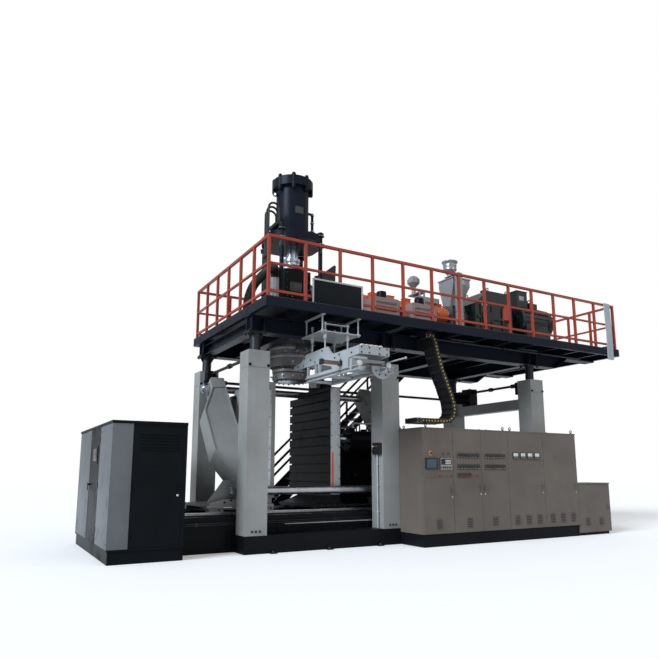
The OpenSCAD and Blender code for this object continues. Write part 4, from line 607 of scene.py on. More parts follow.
def sunLamp(name):
    data = bpy.data.lights.new(name + "Lamp", "SUN")
    data.energy = lamps[name]
    data.angle = math.radians(lamps[name + "Spread"])
    data.color = lamps[name + "Colour"]
    lamp = bpy.data.objects.new(name + "Lamp", data)
    lamp.rotation_euler = tuple(math.radians(a) for a in lamps[name + "Turn"])
    bpy.context.scene.collection.objects.link(lamp)


setWorld()
setFloor()
sunLamp("key")
sunLamp("fill")
print("floor, world and lamps set")

# points closer than this (m) are joined, and an edge over this angle (degrees) is left sharp
seamGap, sharpCorner = 2e-6, 35


def makePiece(name, part, finish="darkSteel", body="platform"):
    # puts the arrays into a mesh, closes its seams and poles, and hangs it on its body
    mesh = bpy.data.meshes.new(name)
    mesh.from_pydata(part[0].tolist(), [], part[1].tolist())
    bm = bmesh.new()
    bm.from_mesh(mesh)
    bmesh.ops.remove_doubles(bm, verts=bm.verts, dist=seamGap)
    bmesh.ops.recalc_face_normals(bm, faces=bm.faces)
    bm.to_mesh(mesh)
    bm.free()
    mesh.shade_smooth()
    mesh.set_sharp_from_angle(angle=math.radians(sharpCorner))
    mesh.materials.append(finishes[finish])
    piece = bpy.data.objects.new(name, mesh)
    bpy.context.scene.collection.objects.link(piece)
    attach(piece, body)


def boltPiece(name, *groups, finish="darkSteel", body="platform"):
    # one piece out of groups of bolts: size across flats, height, places and the way they point
    makePiece(name, together(*[boltsAt(*group) for group in groups]), finish, body)


deckTop = 4.32
postXs, rows = (-1.305, 1.525, 5.705), (-1.22, 1.5)


# bare sign board on the front guard rail
signBoard = {"x": (-0.59, 0.47), "z": (4.29, 4.77), "back": -2.0465, "thick": 0.016, "frame": 0.03, "inset": 0.004,
             "clamps": (-0.52, -0.12, 0.36)}


def makeSignBoard():
    (x0, x1), (z0, z1), back = signBoard["x"], signBoard["z"], signBoard["back"]
    face, w, e = back - signBoard["thick"], signBoard["frame"], signBoard["inset"]
    makePiece("sign_board", softBlock((x0 + e, face, z0 + e), (x1 - e, back, z1 - e), 0.003), "signDark")
    border = barFrame(x0, x1, z0, z1, w, face - 0.012, face + 0.006, 0.004)
    middles = spots((x0 + w / 2, x1 - w / 2), face - 0.0115, (z0 + w / 2, z1 - w / 2))
    clamps = blocks((-0.03, back - 0.001, 4.40), (0.03, -2.036, 4.465), 0.004, signBoard["clamps"])
    makePiece("sign_frame", together(border, boltsAt(0.012, 0.005, middles, toFront), clamps), "signFrame")


# press cylinder: nuts on the crown's studs, foot bolts, eyes, weld beads, bare plate, ports
press = {"radius": 0.35, "foot": 6.36, "crown": 7.60, "studRing": 0.40, "studTop": 7.63, "studLow": 7.34}


def makePressTrim():
    high, low = [ringPlaces(8, press["studRing"], press[end], 22.5) for end in ("studTop", "studLow")]
    boltPiece("crown_nuts", (0.066, 0.034, high), (0.066, 0.034, low, toFloor),
              (0.036, 0.022, ringPlaces(8, 0.29, press["crown"])), finish="navy")
    boltPiece("press_foot_bolts", (0.046, 0.03, ringPlaces(16, 0.387, press["foot"], 11)))
    makePiece("crown_lifting_eyes", copies(liftingEye(0.11), spots((0.2, -0.2), 0, 7.599)))
    beads = together(ringBead(press["radius"], press["foot"], 0.012), ringBead(0.13, press["crown"], 0.01))
    makePiece("press_weld_beads", beads, "navy")
    a = np.radians(np.linspace(-106, -74, 13))
    z = np.array([6.78, 6.782, 6.928, 6.93])[:, None]
    r = press["radius"] + np.array([-0.0005, 0.0025, 0.0025, -0.0005])[:, None]
    grid = np.stack([r * np.cos(a), r * np.sin(a), z + 0 * a], -1)
    makePiece("press_bare_plate", (grid.reshape(-1, 3), gridQuads(4, 13)), "panelGrey")
    plug = turned([(0, 0), (0.05, 0), (0.05, 0.018), (0.034, 0.03), (0.034, 0.05), (0, 0.052)], 6)
    makePiece("press_port_plugs", copies(plug, spots(-0.405, 0, (6.465, 7.24)), toLeft), "steel")
    ring = crestedHoop(0.0305, 0.046, 0.048, 0.008, 20)
    makePiece("side_column_rings", copies(ring, spots(0.425, -0.12, (6.53, 6.72, 6.9))), "steel")


# tie rods: washers on both sides of the flange plate and on the deck, thread crests above the nuts
tieRods = {"place": 0.45, "radius": 0.045, "plateTop": 6.30, "plateLow": 6.13, "base": 4.38,
           "threads": ((6.371, 6.389, 0.005), (4.452, 4.60, 0.006), (5.93, 6.058, 0.006))}


def makeTieRodTrim():
    ends = (-tieRods["place"], tieRods["place"])
    profile = np.array([(0.046, 0), (0.088, 0), (0.09, 0.003), (0.088, 0.008), (0.046, 0.008), (0.046, 0)])
    washers = [turned(profile * (1, way) + (0, tieRods[level]), 24)
               for level, way in (("base", 1), ("plateTop", 1), ("plateLow", -1))]
    makePiece("tie_rod_washers", copies(together(*washers), spots(ends, ends, 0)), "steel")
    crests = [threadCrests(tieRods["radius"], *thread) for thread in tieRods["threads"]]
    makePiece("tie_rod_threads", copies(together(*crests), spots(ends, ends, 0)), "steel")


# head block: cap screws, bare panel, heater covers, top band
headBlock = {"half": 0.3, "columns": (-0.25, 0.25), "levels": np.linspace(4.62, 5.45, 6), "foot": 4.38}


def makeHeadBlockTrim():
    h, xs, zs = headBlock["half"], headBlock["columns"], headBlock["levels"]
    base = spots((-0.5, -0.17, 0.17, 0.5), (-0.5, 0.5), headBlock["foot"])
    base += spots((-0.5, 0.5), (-0.17, 0.17), headBlock["foot"])
    boltPiece("head_block_screws", (0.034, 0.02, spots(xs, -h, zs), toFront), (0.034, 0.02, spots(xs, h, zs), toRear),
              (0.03, 0.02, ringPlaces(12, 0.245, 5.65, 15)), (0.042, 0.026, base))
    panel = rimmedPlate((-0.19, -h - 0.012, 5.06), (0.09, -h + 0.001, 5.26), 0.012, 0.014)
    makePiece("head_bare_panel", panel, "panelGrey")
    covers = together(softBlock((-0.16, -h - 0.022, 4.66), (0.16, -h + 0.001, 4.96), 0.006),
                      blocks((-0.15, h - 0.001, 0), (0.15, h + 0.022, 0.3), 0.006, zs=(4.66, 5.06)))
    makePiece("head_heater_covers", covers, "black")
    boltPiece("head_cover_screws", (0.014, 0.008, spots((-0.14, 0.14), -h - 0.0215, (4.68, 4.94)), toFront),
              finish="steel")
    makePiece("head_top_band", band(0.281, 0.294, 5.56, 5.62, (0.002, 0.004), 48), "steel")
    makePiece("head_band_lug", softBlock((-0.02, -0.325, 5.565), (0.02, -0.288, 5.615)))


# pale drum beside the head block and the ribbed duct that leaves it
drum = {"centre": (-0.49, -0.22), "radius": 0.115, "low": 4.38, "high": 5.31, "hoops": (4.62, 5.0)}
duct = {"points": [(-0.49, -0.22, 5.31), (-0.53, -0.3, 5.41), (-0.585, -0.4, 5.44), (-0.68, -0.5, 5.4),
                   (-0.82, -0.56, 5.29), (-0.97, -0.6, 5.13), (-1.12, -0.62, 4.93), (-1.22, -0.64, 4.68),
                   (-1.25, -0.65, 4.48), (-1.25, -0.65, 4.33)], "radius": 0.085, "rib": 0.034}


def makeDrumAndDuct():
    r, z0, z1 = drum["radius"], drum["low"], drum["high"]
    shell = turned([(0, z0), (r + 0.02, z0), (r + 0.02, z0 + 0.016), (r, z0 + 0.02), (r, z1 - 0.05),
                    (r * 0.94, z1 - 0.02), (r * 0.7, z1), (0, z1 + 0.006)], 32)
    hoops = [hoop(r - 0.001, r + 0.007, z, z + 0.03, 32) for z in drum["hoops"]]
    makePiece("air_drum", placed(together(shell, *hoops), (*drum["centre"], 0)), "paleSteel")
    makePiece("ribbed_duct", ribbedHose(**duct), "rubber")
    collar = turned([(0, 0), (0.13, 0), (0.13, 0.012), (0.1, 0.02), (0.1, 0.07), (0.086, 0.074), (0, 0.075)], 28)
    makePiece("duct_deck_collar", placed(collar, (*duct["points"][-1][:2], deckTop)))


# plates beside the head: dark gusset towards the extruder and the half-round guard over the barrel's end
guardPlate = {"outline": [(0.45, 5.33), (0.95, 5.40), (0.97, 5.82), (0.93, 5.82), (0.6, 5.55), (0.45, 5.5)],
              "middle": -0.2, "half": 0.006, "shield": (0.95, 1.4), "radius": 0.3, "axis": 5.15}


def makeHeadPlates():
    outline, y, half = np.array(guardPlate["outline"]), guardPlate["middle"], guardPlate["half"]
    count = len(outline)
    line = np.stack([outline[:, 0], np.full(count, y), outline[:, 1]], 1)
    middle = np.repeat(line.mean(0, keepdims=True), count, 0)
    grid = np.stack([middle - (0, half, 0), line - (0, half, 0), line + (0, half, 0), middle + (0, half, 0)], 0)
    edge = [lineBead(a, b, 0.009, 8) for a, b in zip(line, np.roll(line, -1, 0))]
    makePiece("head_gusset", together((grid.reshape(-1, 3), gridQuads(4, count, wrapCols=True)), *edge))
    (x0, x1), r, z, n = guardPlate["shield"], guardPlate["radius"], guardPlate["axis"], 19
    t = np.linspace(math.radians(20), math.radians(160), n)

    def arc(x, radius):
        return np.stack([np.full(n, x), radius * np.cos(t), z + radius * np.sin(t)], 1)

    outer = np.stack([arc(x, r) for x in (x0, x0 + 0.004, x1 - 0.004, x1)])
    inner = outer[::-1] * (1, 0.985, 1) - (0, 0, 0.004)
    shell = np.concatenate([outer, inner]).reshape(-1, 3), gridQuads(8, n, wrapRows=True)
    makePiece("barrel_shield", together(shell, *[tube(arc(x, r + 0.002), 0.008, 8) for x in (x0, x1)]))


makeSignBoard()
makePressTrim()
makeTieRodTrim()
makeHeadBlockTrim()
makeDrumAndDuct()
makeHeadPlates()
print("press and head trim made")


# extruder: band clamps, terminal covers with their leads to a tray, flange bolts, throat pipes
extruder = {"axis": 5.15, "firstBand": 0.45, "bandPitch": 0.4725, "bands": 8, "trayY": 0.42, "trayZ": 4.62,
            "trayLegs": (0.8, 1.9, 3.0, 4.05), "tray": (0.45, 4.2)}
gland = [(0, 0), (0.017, 0), (0.017, 0.014), (0.013, 0.018), (0.013, 0.03), (0, 0.031)]


def makeBandTrim():
    z, tray = extruder["axis"], extruder["trayZ"]
    starts = extruder["firstBand"] + extruder["bandPitch"] * np.arange(extruder["bands"])
    seams = around(starts, (0.055, 0.3675))
    lugs = blocks((-0.012, -0.232, z - 0.028), (0.012, -0.194, z + 0.028), 0.003, seams)
    screws = boltsAt(0.013, 0.008, spots(seams, -0.231, (z + 0.014, z - 0.014)), toFront)
    makePiece("band_clamps", together(lugs, screws), "steel")
    covers = blocks((0.1, -0.07, z + 0.258), (0.31, 0.07, z + 0.272), 0.005, starts)
    pins = spots(starts + 0.125, -0.05, z + 0.2715) + spots(starts + 0.285, 0.05, z + 0.2715)
    makePiece("band_terminal_covers", together(covers, boltsAt(0.012, 0.005, pins)), "bandOrange")
    lead = pipeRun([(0, 0.085, z + 0.225), (0, 0.3, z + 0.225), (0, 0.42, z - 0.04), (0, 0.42, tray + 0.03)], 0.009, 8)
    mouths = starts + 0.205
    glands = copies(turned(gland, 12), spots(mouths, 0.059, z + 0.225), toRear)
    makePiece("heater_lead_pipes", together(copies(lead, spots(mouths, 0, 0)), glands), "paleSteel")


def makeTray():
    y, z, (x0, x1), legs = extruder["trayY"], extruder["trayZ"], extruder["tray"], extruder["trayLegs"]
    sheets = [softBlock((x0, y + y0, z), (x1, y + y1, z + height), 0.0008)
              for y0, y1, height in ((-0.06, -0.057, 0.05), (-0.06, 0.06, 0.003), (0.057, 0.06, 0.05))]
    leg = together(softBlock((-0.02, y - 0.02, deckTop), (0.02, y + 0.02, z + 0.002)),
                   softBlock((-0.05, y - 0.05, deckTop), (0.05, y + 0.05, deckTop + 0.008), 0.003))
    makePiece("heater_tray", together(*sheets, copies(leg, spots(legs, 0, 0))), "paleSteel")
    bundle = [tube([(0.47, y + dy, z + 0.015), (1.5, y + dy * 0.8, z + 0.016), (2.6, y + dy, z + 0.015),
                    (4.18, y + dy * 0.9, z + 0.015)], 0.011, 8) for dy in (-0.035, -0.012, 0.012, 0.035)]
    makePiece("tray_cables", copies(together(*bundle), spots(0, 0, (0, 0.018))), "rubber")


def makeBarrelTrim():
    z = extruder["axis"]
    boltPiece("barrel_flange_bolts", (0.03, 0.02, uprightRing(12, 0.182, 0.42, 0, z, 0.2), toRight),
              (0.03, 0.02, uprightRing(12, 0.174, 4.66, 0, z, 0.2), toRight))
    boltPiece("throat_screws", (0.026, 0.016, spots((4.28, 4.62), -0.24, np.linspace(z - 0.2, z + 0.2, 5)), toFront))
    pipes = [pipeRun([(x, -0.24, z + 0.09), (x, y, z + 0.09), (x, y, bend), (x, turn, low), (5.4, end, low)], 0.011)
             for x, y, bend, turn, low, end in ((4.36, -0.3, 4.42, -0.5, 4.36, -0.62),
                                                (4.52, -0.33, 4.47, -0.56, 4.39, -0.66))]
    makePiece("throat_water_pipes", together(*pipes), "copper")
    feet = spots((2.47, 2.65, 4.24, 4.42), (-0.23, 0.23), deckTop + 0.031)
    boltPiece("barrel_support_bolts", (0.034, 0.022, feet))
    gauge = turned([(0, 0), (0.012, 0), (0.012, 0.05), (0.04, 0.055), (0.046, 0.06), (0.046, 0.085), (0.041, 0.09),
                    (0.036, 0.084), (0, 0.084)], 20)
    makePiece("melt_pressure_gauge", placed(gauge, (0.345, -0.19, z + 0.02), toFront), "steel")


# feed hopper: rim bolts, sight window, slide gate handle; loader clips and hoops; dosing lid and screws
hopper = {"x": 4.545, "half": 0.27, "rim": 6.12, "loaderX": 4.42}


def makeHopperTrim():
    x, h, z, loader = hopper["x"], hopper["half"], hopper["rim"], hopper["loaderX"]
    out = h + 0.007
    boltPiece("hopper_rim_bolts", (0.014, 0.008, spots(x + np.linspace(-0.24, 0.24, 5), (-out, out), z)
                                   + spots((x - out, x + out), (-0.16, 0, 0.16), z)))
    window = rimmedPlate((x - 0.09, -h - 0.008, 5.95), (x + 0.09, -h + 0.001, 6.06), 0.01, 0.018)
    screws = boltsAt(0.01, 0.005, spots((x - 0.081, x + 0.081), -h - 0.0125, (5.959, 6.051)), toFront)
    makePiece("hopper_window_frame", together(window, screws), "steel")
    grip = pipeRun([(4.25, -0.05, 5.405), (4.14, -0.05, 5.405), (4.14, 0.05, 5.405), (4.25, 0.05, 5.405)], 0.008, 8)
    gate = softBlock((4.25, -0.03, 5.398), (4.26, 0.03, 5.412), 0.002)
    makePiece("hopper_gate_handle", together(gate, grip), "steel")
    boltPiece("loader_column_bolts",
              (0.018, 0.012, spots(4.28, (-0.41, -0.35), (4.4, 4.8, 5.2, 5.6, 6.0)), toLeft),
              (0.022, 0.014, spots((4.26, 4.44), (-0.46, -0.3), deckTop + 0.016)))
    clip = together(softBlock((-0.012, -0.015, -0.03), (0.012, 0.015, 0.03)),
                    tube([(0.008, 0, -0.05), (0.014, 0, 0), (0.008, 0, 0.055)], 0.004, 6))
    around = [(loader + 0.17 * math.cos(a), 0.17 * math.sin(a), 6.36) for a in np.radians([20, 140, 260])]
    makePiece("loader_clips", copies(clip, around), "steel")
    makePiece("loader_hoops", copies(hoop(0.1645, 0.171, 0, 0.02, 32), spots(loader, 0, (6.37, 6.47))), "steel")
    lid = turned([(0, 0), (0.09, 0), (0.09, 0.006), (0.05, 0.014), (0.02, 0.018), (0.02, 0.03), (0.012, 0.036),
                  (0, 0.036)], 8)
    makePiece("dosing_lid", placed(lid, (3.26, 0, 5.9995)), "sheet")
    boltPiece("dosing_box_screws", (0.014, 0.008, spots((3.39, 3.93), -0.1, (5.435, 5.505)), toFront))


# gearbox: split line bolts, cover bolts, sight glass, breather, eyes, bare plate
gear = {"x0": 4.8, "x1": 6.05, "half": 0.45, "split": 5.1695, "foot": 4.38, "roof": 5.88, "sight": (5.78, 4.75)}


def makeGearTrim():
    x0, x1, half, (sightX, sightZ) = gear["x0"], gear["x1"], gear["half"], gear["sight"]
    cover = [(x0 + 0.36 + x, -half - 0.06, 5.15 + y) for x, y, _ in ringPlaces(10, 0.135, 0)]
    boltPiece("gearbox_bolts",
              (0.026, 0.018, spots(np.linspace(x0 + 0.09, x1 - 0.08, 9), (-0.465, 0.465), gear["split"])),
              (0.026, 0.016, cover, toFront), (0.03, 0.018, uprightRing(10, 0.175, x1 + 0.06, 0, 5.3), toRight),
              (0.04, 0.026, spots((x0 + 0.12, 5.42, x1 - 0.12), (-0.49, 0.49), gear["foot"])),
              (0.024, 0.014, spots(np.linspace(x0 + 0.6, x1 - 0.2, 4), (-0.3, 0.3), gear["roof"])))
    makePiece("gearbox_eyes", copies(liftingEye(0.1), spots((5.3, 5.95), (-0.37, 0.37), 5.849)))
    sight = turned([(0, 0), (0.034, 0), (0.034, 0.012), (0.026, 0.016), (0.024, 0.008), (0, 0.008)], 20)
    makePiece("oil_sight_ring", placed(sight, (sightX, -half, sightZ), toFront), "steel")
    glass = turned([(0, 0), (0.022, 0), (0.02, 0.004), (0, 0.005)], 20)
    makePiece("oil_sight_glass", placed(glass, (sightX, -half - 0.0079, sightZ), toFront), "amber")
    cap = turned([(0, 0), (0.06, 0), (0.062, 0.01), (0.062, 0.03), (0.052, 0.045), (0.02, 0.05), (0, 0.05)], 20)
    makePiece("breather_cap", placed(cap, (5.5, 0, 5.9595)))
    screws = boltsAt(0.006, 0.003, spots((5.03, 5.19), -0.4532, (5.45, 5.53)), toFront)
    plate = softBlock((5.02, -0.4535, 5.44), (5.2, -0.4495, 5.54), 0.0009)
    makePiece("gearbox_bare_plate", together(plate, screws), "plate")
    y = -half - 0.08
    pipes = [pipeRun([(5.9, -half, 4.6), (5.9, y, 4.6), (5.9, y, 5.5), (5.9, -half, 5.5)], 0.014),
             pipeRun([(5.35, -half, 4.62), (5.35, y, 4.62), (5.86, y, 4.62), (5.86, -0.6, 4.36), (6.3, -0.6, 4.36)],
                     0.014)]
    makePiece("oil_pipes", together(*pipes), "steel")


# drive motor: shield bolts, box screws, eye, fan grille, coupling guard ribs, bare plate, supply pipes
motor = {"x0": 6.48, "x1": 7.63, "z": 5.3, "radius": 0.44, "supply": (0.12, 0.23, 0.34)}


def makeMotorTrim():
    x0, x1, z, r = motor["x0"], motor["x1"], motor["z"], motor["radius"]
    boltPiece("motor_bolts", (0.026, 0.016, uprightRing(12, r - 0.03, x0, 0, z, 0.13), toLeft),
              (0.022, 0.014, uprightRing(12, r - 0.04, x1, 0, z, 0.13), toRight),
              (0.016, 0.01, spots((x0 + 0.05, x0 + 0.41), (-0.2, 0.2), z + r + 0.385)),
              (0.036, 0.024, spots((6.56, 7.02, 7.45), (-0.47, 0.47), 4.381)))
    rings = [hoop(rr - 0.006, rr + 0.006, -0.004, 0.004, 40) for rr in (0.07, 0.12, 0.17, 0.22, 0.27, 0.32)]
    spokes = [spoke((0, 0, 0), (math.cos(t), math.sin(t), 0), (0.05, 0.2, 0.34), 0.005, 6)
              for t in np.arange(8) * np.pi / 4]
    hub = turned([(0, 0), (0.06, 0), (0.06, 0.008), (0.04, 0.018), (0, 0.02)], 24)
    makePiece("fan_grille", placed(together(*rings, *spokes, hub), (x1 + 0.006, 0, z), toRight))
    ribs = blocks((6.12, -0.003, 0), (6.41, 0.003, 0.02), 0.003, ys=(-0.172, 0.172), zs=np.linspace(4.68, 5.4, 12))
    makePiece("coupling_guard_ribs", ribs, "gear")
    makePiece("motor_eye", placed(liftingEye(0.13), (7.2, 0, z + r + 0.119)))
    makePiece("motor_bare_plate", softBlock((6.60, -0.2145, 5.86), (6.78, -0.2095, 5.98), 0.0009), "plate")
    nut = turned([(0, 0), (0.03, 0), (0.03, 0.02), (0.022, 0.026), (0.022, 0.05), (0, 0.051)], 12)
    glands = copies(nut, spots(x0 + np.array(motor["supply"]), 0.209, 5.82), toRear)
    runs = [(x0 + dx, 0.56 + i * 0.03) for i, dx in enumerate(motor["supply"])]
    pipes = [pipeRun([(x, 0.255, 5.82), (x, y, 5.82), (x, y, 4.325)], 0.015) for x, y in runs]
    makePiece("motor_supply_pipes", together(glands, *pipes), "rubber")


# blower boxes: grille frames, screws, motors on top
blowerXs = (1.65, 2.7)


def makeBlowerTrim():
    grille = barFrame(0.05, 0.65, 4.46, 5.06, 0.022, -0.6675, -0.6595, 0.0015)
    makePiece("blower_grille_frames", copies(grille, spots(blowerXs, 0, 0)), "blower")
    screws = spots(around(blowerXs, (0.06, 0.35, 0.64)), -0.6675, (4.471, 5.049))
    boltPiece("blower_screws", (0.012, 0.006, screws, toFront), finish="steel")
    drive = turned([(0, 0), (0.13, 0), (0.13, 0.02), (0.11, 0.03), (0.11, 0.16), (0.1, 0.18), (0.03, 0.185),
                    (0, 0.185)], 28)
    drives = together(placed(drive, (0.35, -0.46, 5.1395)), softBlock((0.32, -0.36, 5.139), (0.38, -0.3, 5.2), 0.003))
    makePiece("blower_motors", copies(drives, spots(blowerXs, 0, 0)), "black")


makeBandTrim()
makeTray()
makeBarrelTrim()
makeHopperTrim()
makeGearTrim()
makeMotorTrim()
makeBlowerTrim()
print("extruder trim made")


# guard rail: foot bolts and weld beads, with the gap at the stairs
guard = {"x": (-1.42, 7.86), "y": (-2.02, 1.9), "gap": (4.63, 5.45), "bolt": 0.042}


def makeRailTrim():
    (x0, x1), (y0, y1), z, e = guard["x"], guard["y"], deckTop + 0.008, guard["bolt"]
    rearX = np.concatenate([np.linspace(x0, guard["gap"][0], 9), np.linspace(guard["gap"][1], x1, 4)])
    sides = spots(np.linspace(x0, x1, 14), y0, z) + spots(rearX, y1, z)
    ends = spots((x0, x1), np.linspace(y0, y1, 7)[1:-1], z)
    feet = [np.add(place, (dx, 0, 0)) for place in sides for dx in (-e, e)]
    feet += [np.add(place, (0, dy, 0)) for place in ends for dy in (-e, e)]
    boltPiece("rail_foot_bolts", (0.013, 0.009, feet))
    bead = turned([(0.0, -0.001), (0.036, -0.001), (0.034, 0.004), (0.0265, 0.009), (0, 0.009)], 4)
    makePiece("rail_foot_welds", copies(rolled(bead, math.pi / 4), sides + ends), "orange")


# deck: pale end strip, flange bolts of the columns, pipes along the rear, junction boxes
deck = {"strip": ((7.47, -2.094, 4.04), (7.69, -2.0805, 5.44)), "pipeY": 1.72, "boxes": (0.9, 3.0)}


def makeDeckTrim():
    (lx, ly, lz), (hx, _, hz) = deck["strip"]
    u = np.linspace(0, 1, 15)
    sway = 0.02 * np.sin(u * 5) * u
    section = [(0, 0.012), (0.02, 0), (0.98, 0), (1, 0.012), (1, 0.014), (0, 0.014)]
    loop = np.stack([np.stack([lx + k * (hx - lx) + sway, np.full(15, ly + dy), lz + u * (hz - lz)], 1)
                     for k, dy in section], 1)
    caps = np.repeat(loop.mean(1, keepdims=True), 6, 1)
    pts = np.concatenate([caps[:1], loop, caps[-1:]])
    makePiece("end_cover_strip", (pts.reshape(-1, 3), gridQuads(17, 6, wrapCols=True)), "stripGrey")
    clip = softBlock((7.5, -2.082, 0), (7.56, -2.044, 0.05))
    makePiece("strip_clips", copies(clip, [(0.02, 0, 4.42), (0.06, 0, 4.89), (0.04, 0, 5.39)]), "steel")
    xs, ys = around(postXs, (-0.15, 0.15)), around(rows, (-0.11, 0.11))
    boltPiece("column_flange_bolts", (0.036, 0.022, spots(xs, ys, 3.83), toFloor), (0.036, 0.022, spots(xs, ys, 3.868)))
    pipe = pipeRun([(x, deck["pipeY"], deckTop + 0.03) for x in (-1.2, 3.0, 4.55)], 0.016)
    saddles = blocks((-0.02, 1.69, deckTop), (0.02, 1.84, deckTop + 0.018), 0.004, np.linspace(-1.0, 4.4, 8))
    makePiece("deck_pipes", together(copies(pipe, spots(0, (0, 0.045, 0.09), 0)), saddles))
    box = together(softBlock((0, 1.55, 0.3), (0.3, 1.70, 0.7), 0.008),
                   softBlock((-0.006, 1.534, 0.294), (0.306, 1.552, 0.706), 0.006),
                   softBlock((0.12, 1.6, 0), (0.18, 1.66, 0.302)),
                   softBlock((0.05, 1.55, 0), (0.25, 1.71, 0.01), 0.003))
    makePiece("junction_boxes", copies(box, spots(deck["boxes"], 0, deckTop)), "cabinet")
    locks = spots(np.add(deck["boxes"], 0.28), 1.534, (deckTop + 0.38, deckTop + 0.62))
    boltPiece("junction_box_locks", (0.016, 0.008, locks, toFront))


# base: cap bolts, foot bolts, weld beads and anchors of the posts
def makePostTrim():
    xs = around(postXs, (-0.175, 0.175))
    boltPiece("cap_bolts", (0.038, 0.02, spots(xs, np.subtract(rows, 0.212), 3.23), toFront),
              (0.038, 0.02, spots(xs, np.add(rows, 0.212), 3.23), toRear), finish="black", body="base")
    foot = spots(around(postXs, (-0.07, 0, 0.07)), np.subtract(rows, 0.21), 0.37)
    boltPiece("post_foot_bolts", (0.03, 0.016, foot, toFront), body="base")
    a, b, z = 0.203, 0.198, 0.303
    ring = [(-a, -b, z), (a, -b, z), (a, b, z), (-a, b, z), (-a, -b, z)]
    seam = together(*[lineBead(p, q, 0.006) for p, q in zip(ring[:-1], ring[1:])])
    makePiece("post_foot_welds", copies(seam, spots(postXs, rows, 0)), "post", "base")
    xs = (-1.0, 0.1, 1.2)
    plates = blocks((-0.06, -0.05, 0.001), (0.06, 0.05, 0.016), 0.003, xs, (-1.47, 1.75))
    makePiece("anchor_plates", together(plates, boltsAt(0.036, 0.03, spots(xs, (-1.475, 1.755), 0.016))), body="base")


# bed: clamp strips beside the rails, a ledge strip whose pale colour is a painted highlight along the bed's front,
# pipes, valve block, end stops
bed = {"x0": -2.56, "x1": 3.15, "front": -0.96, "rail": 0.62, "clamp": 0.062}


def makeBedTrim():
    x0, x1, y, c = bed["x0"], bed["x1"], bed["front"], bed["clamp"]
    ys = around((-bed["rail"], bed["rail"]), (-c, c))
    strips = blocks((x0 + 0.12, -0.018, 0.599), (x1 - 0.06, 0.018, 0.617), 0.003, ys=ys)
    makePiece("rail_clamp_strips", strips, body="base")
    boltPiece("rail_clamp_screws", (0.02, 0.012, spots(np.arange(x0 + 0.2, x1 - 0.1, 0.16), ys, 0.616)),
              finish="steel", body="base")
    # the ledge strip's pale colour is a painted highlight along the bed's front edge
    ledge = softBlock((-0.55, y - 0.022, 0.43), (3.0, y - 0.0115, 0.448), 0.003)
    makePiece("bed_ledge_painted_highlight", ledge, "paleSteel", "base")
    pipe = pipeRun([(x, y - 0.024, 0) for x in (-2.4, 1.2, 2.9)], 0.011)
    clips = blocks((-0.02, y - 0.038, 0.452), (0.02, y + 0.001, 0.518), 0.004, (-2.2, -1.0, 0.5, 1.8, 2.8))
    makePiece("bed_pipes", together(copies(pipe, spots(0, 0, (0.47, 0.5))), clips), body="base")
    port = turned([(0, 0), (0.02, 0), (0.02, 0.02), (0.014, 0.026), (0.014, 0.05), (0, 0.05)], 12)
    ports = copies(port, spots((2.5, 2.57, 2.64, 2.71), y - 0.119, 0.52), toFront)
    makePiece("bed_valve_block", together(softBlock((2.45, y - 0.12, 0.46), (2.75, y + 0.001, 0.58), 0.006), ports),
              body="base")
    stops = blocks((x1 - 0.001, -0.06, 0.2), (x1 + 0.05, 0.06, 0.5), 0.006, ys=(-0.5, 0.5))
    screws = spots(x1 + 0.0495, (-0.535, -0.465, 0.465, 0.535), (0.26, 0.44))
    makePiece("bed_end_stops", together(stops, boltsAt(0.024, 0.014, screws, toRight)), "black", "base")


# lift drive: gearbox bolts, motor fins, bolts of the motor's gearbox
liftMotor = {"x": 5.705, "y": 0.85, "z": 3.24, "fins": 11, "pitch": 0.035}


def makeLiftTrim():
    xs = around(postXs, (-0.08, 0.08))
    boltPiece("lift_gearbox_bolts", (0.022, 0.014, spots(xs, (-1.0, -0.86, 1.14, 1.28), 3.49)),
              (0.02, 0.012, spots(xs, 1.12, (3.23, 3.46)), toFront),
              (0.02, 0.012, spots(xs, -0.84, (3.23, 3.46)), toRear), body="base")
    x, y, z = liftMotor["x"], liftMotor["y"], liftMotor["z"]
    finXs = x - 0.6 + liftMotor["pitch"] * np.arange(liftMotor["fins"])
    makePiece("lift_motor_fins", copies(hoop(0.1145, 0.125, -0.006, 0.006, 32), spots(finXs, y, z), toRight),
              "black", "base")
    boltPiece("lift_drive_bolts", (0.026, 0.016, spots((x - 0.1, x + 0.1), (y - 0.12, y + 0.12), 3.52)),
              finish="steel", body="base")


# hydraulic unit: filler caps, gauges, pump motor with its fins, pipes, panel screws
tank = {"front": 0.7, "top": 2.26, "middle": 0.94, "pump": 2.66}


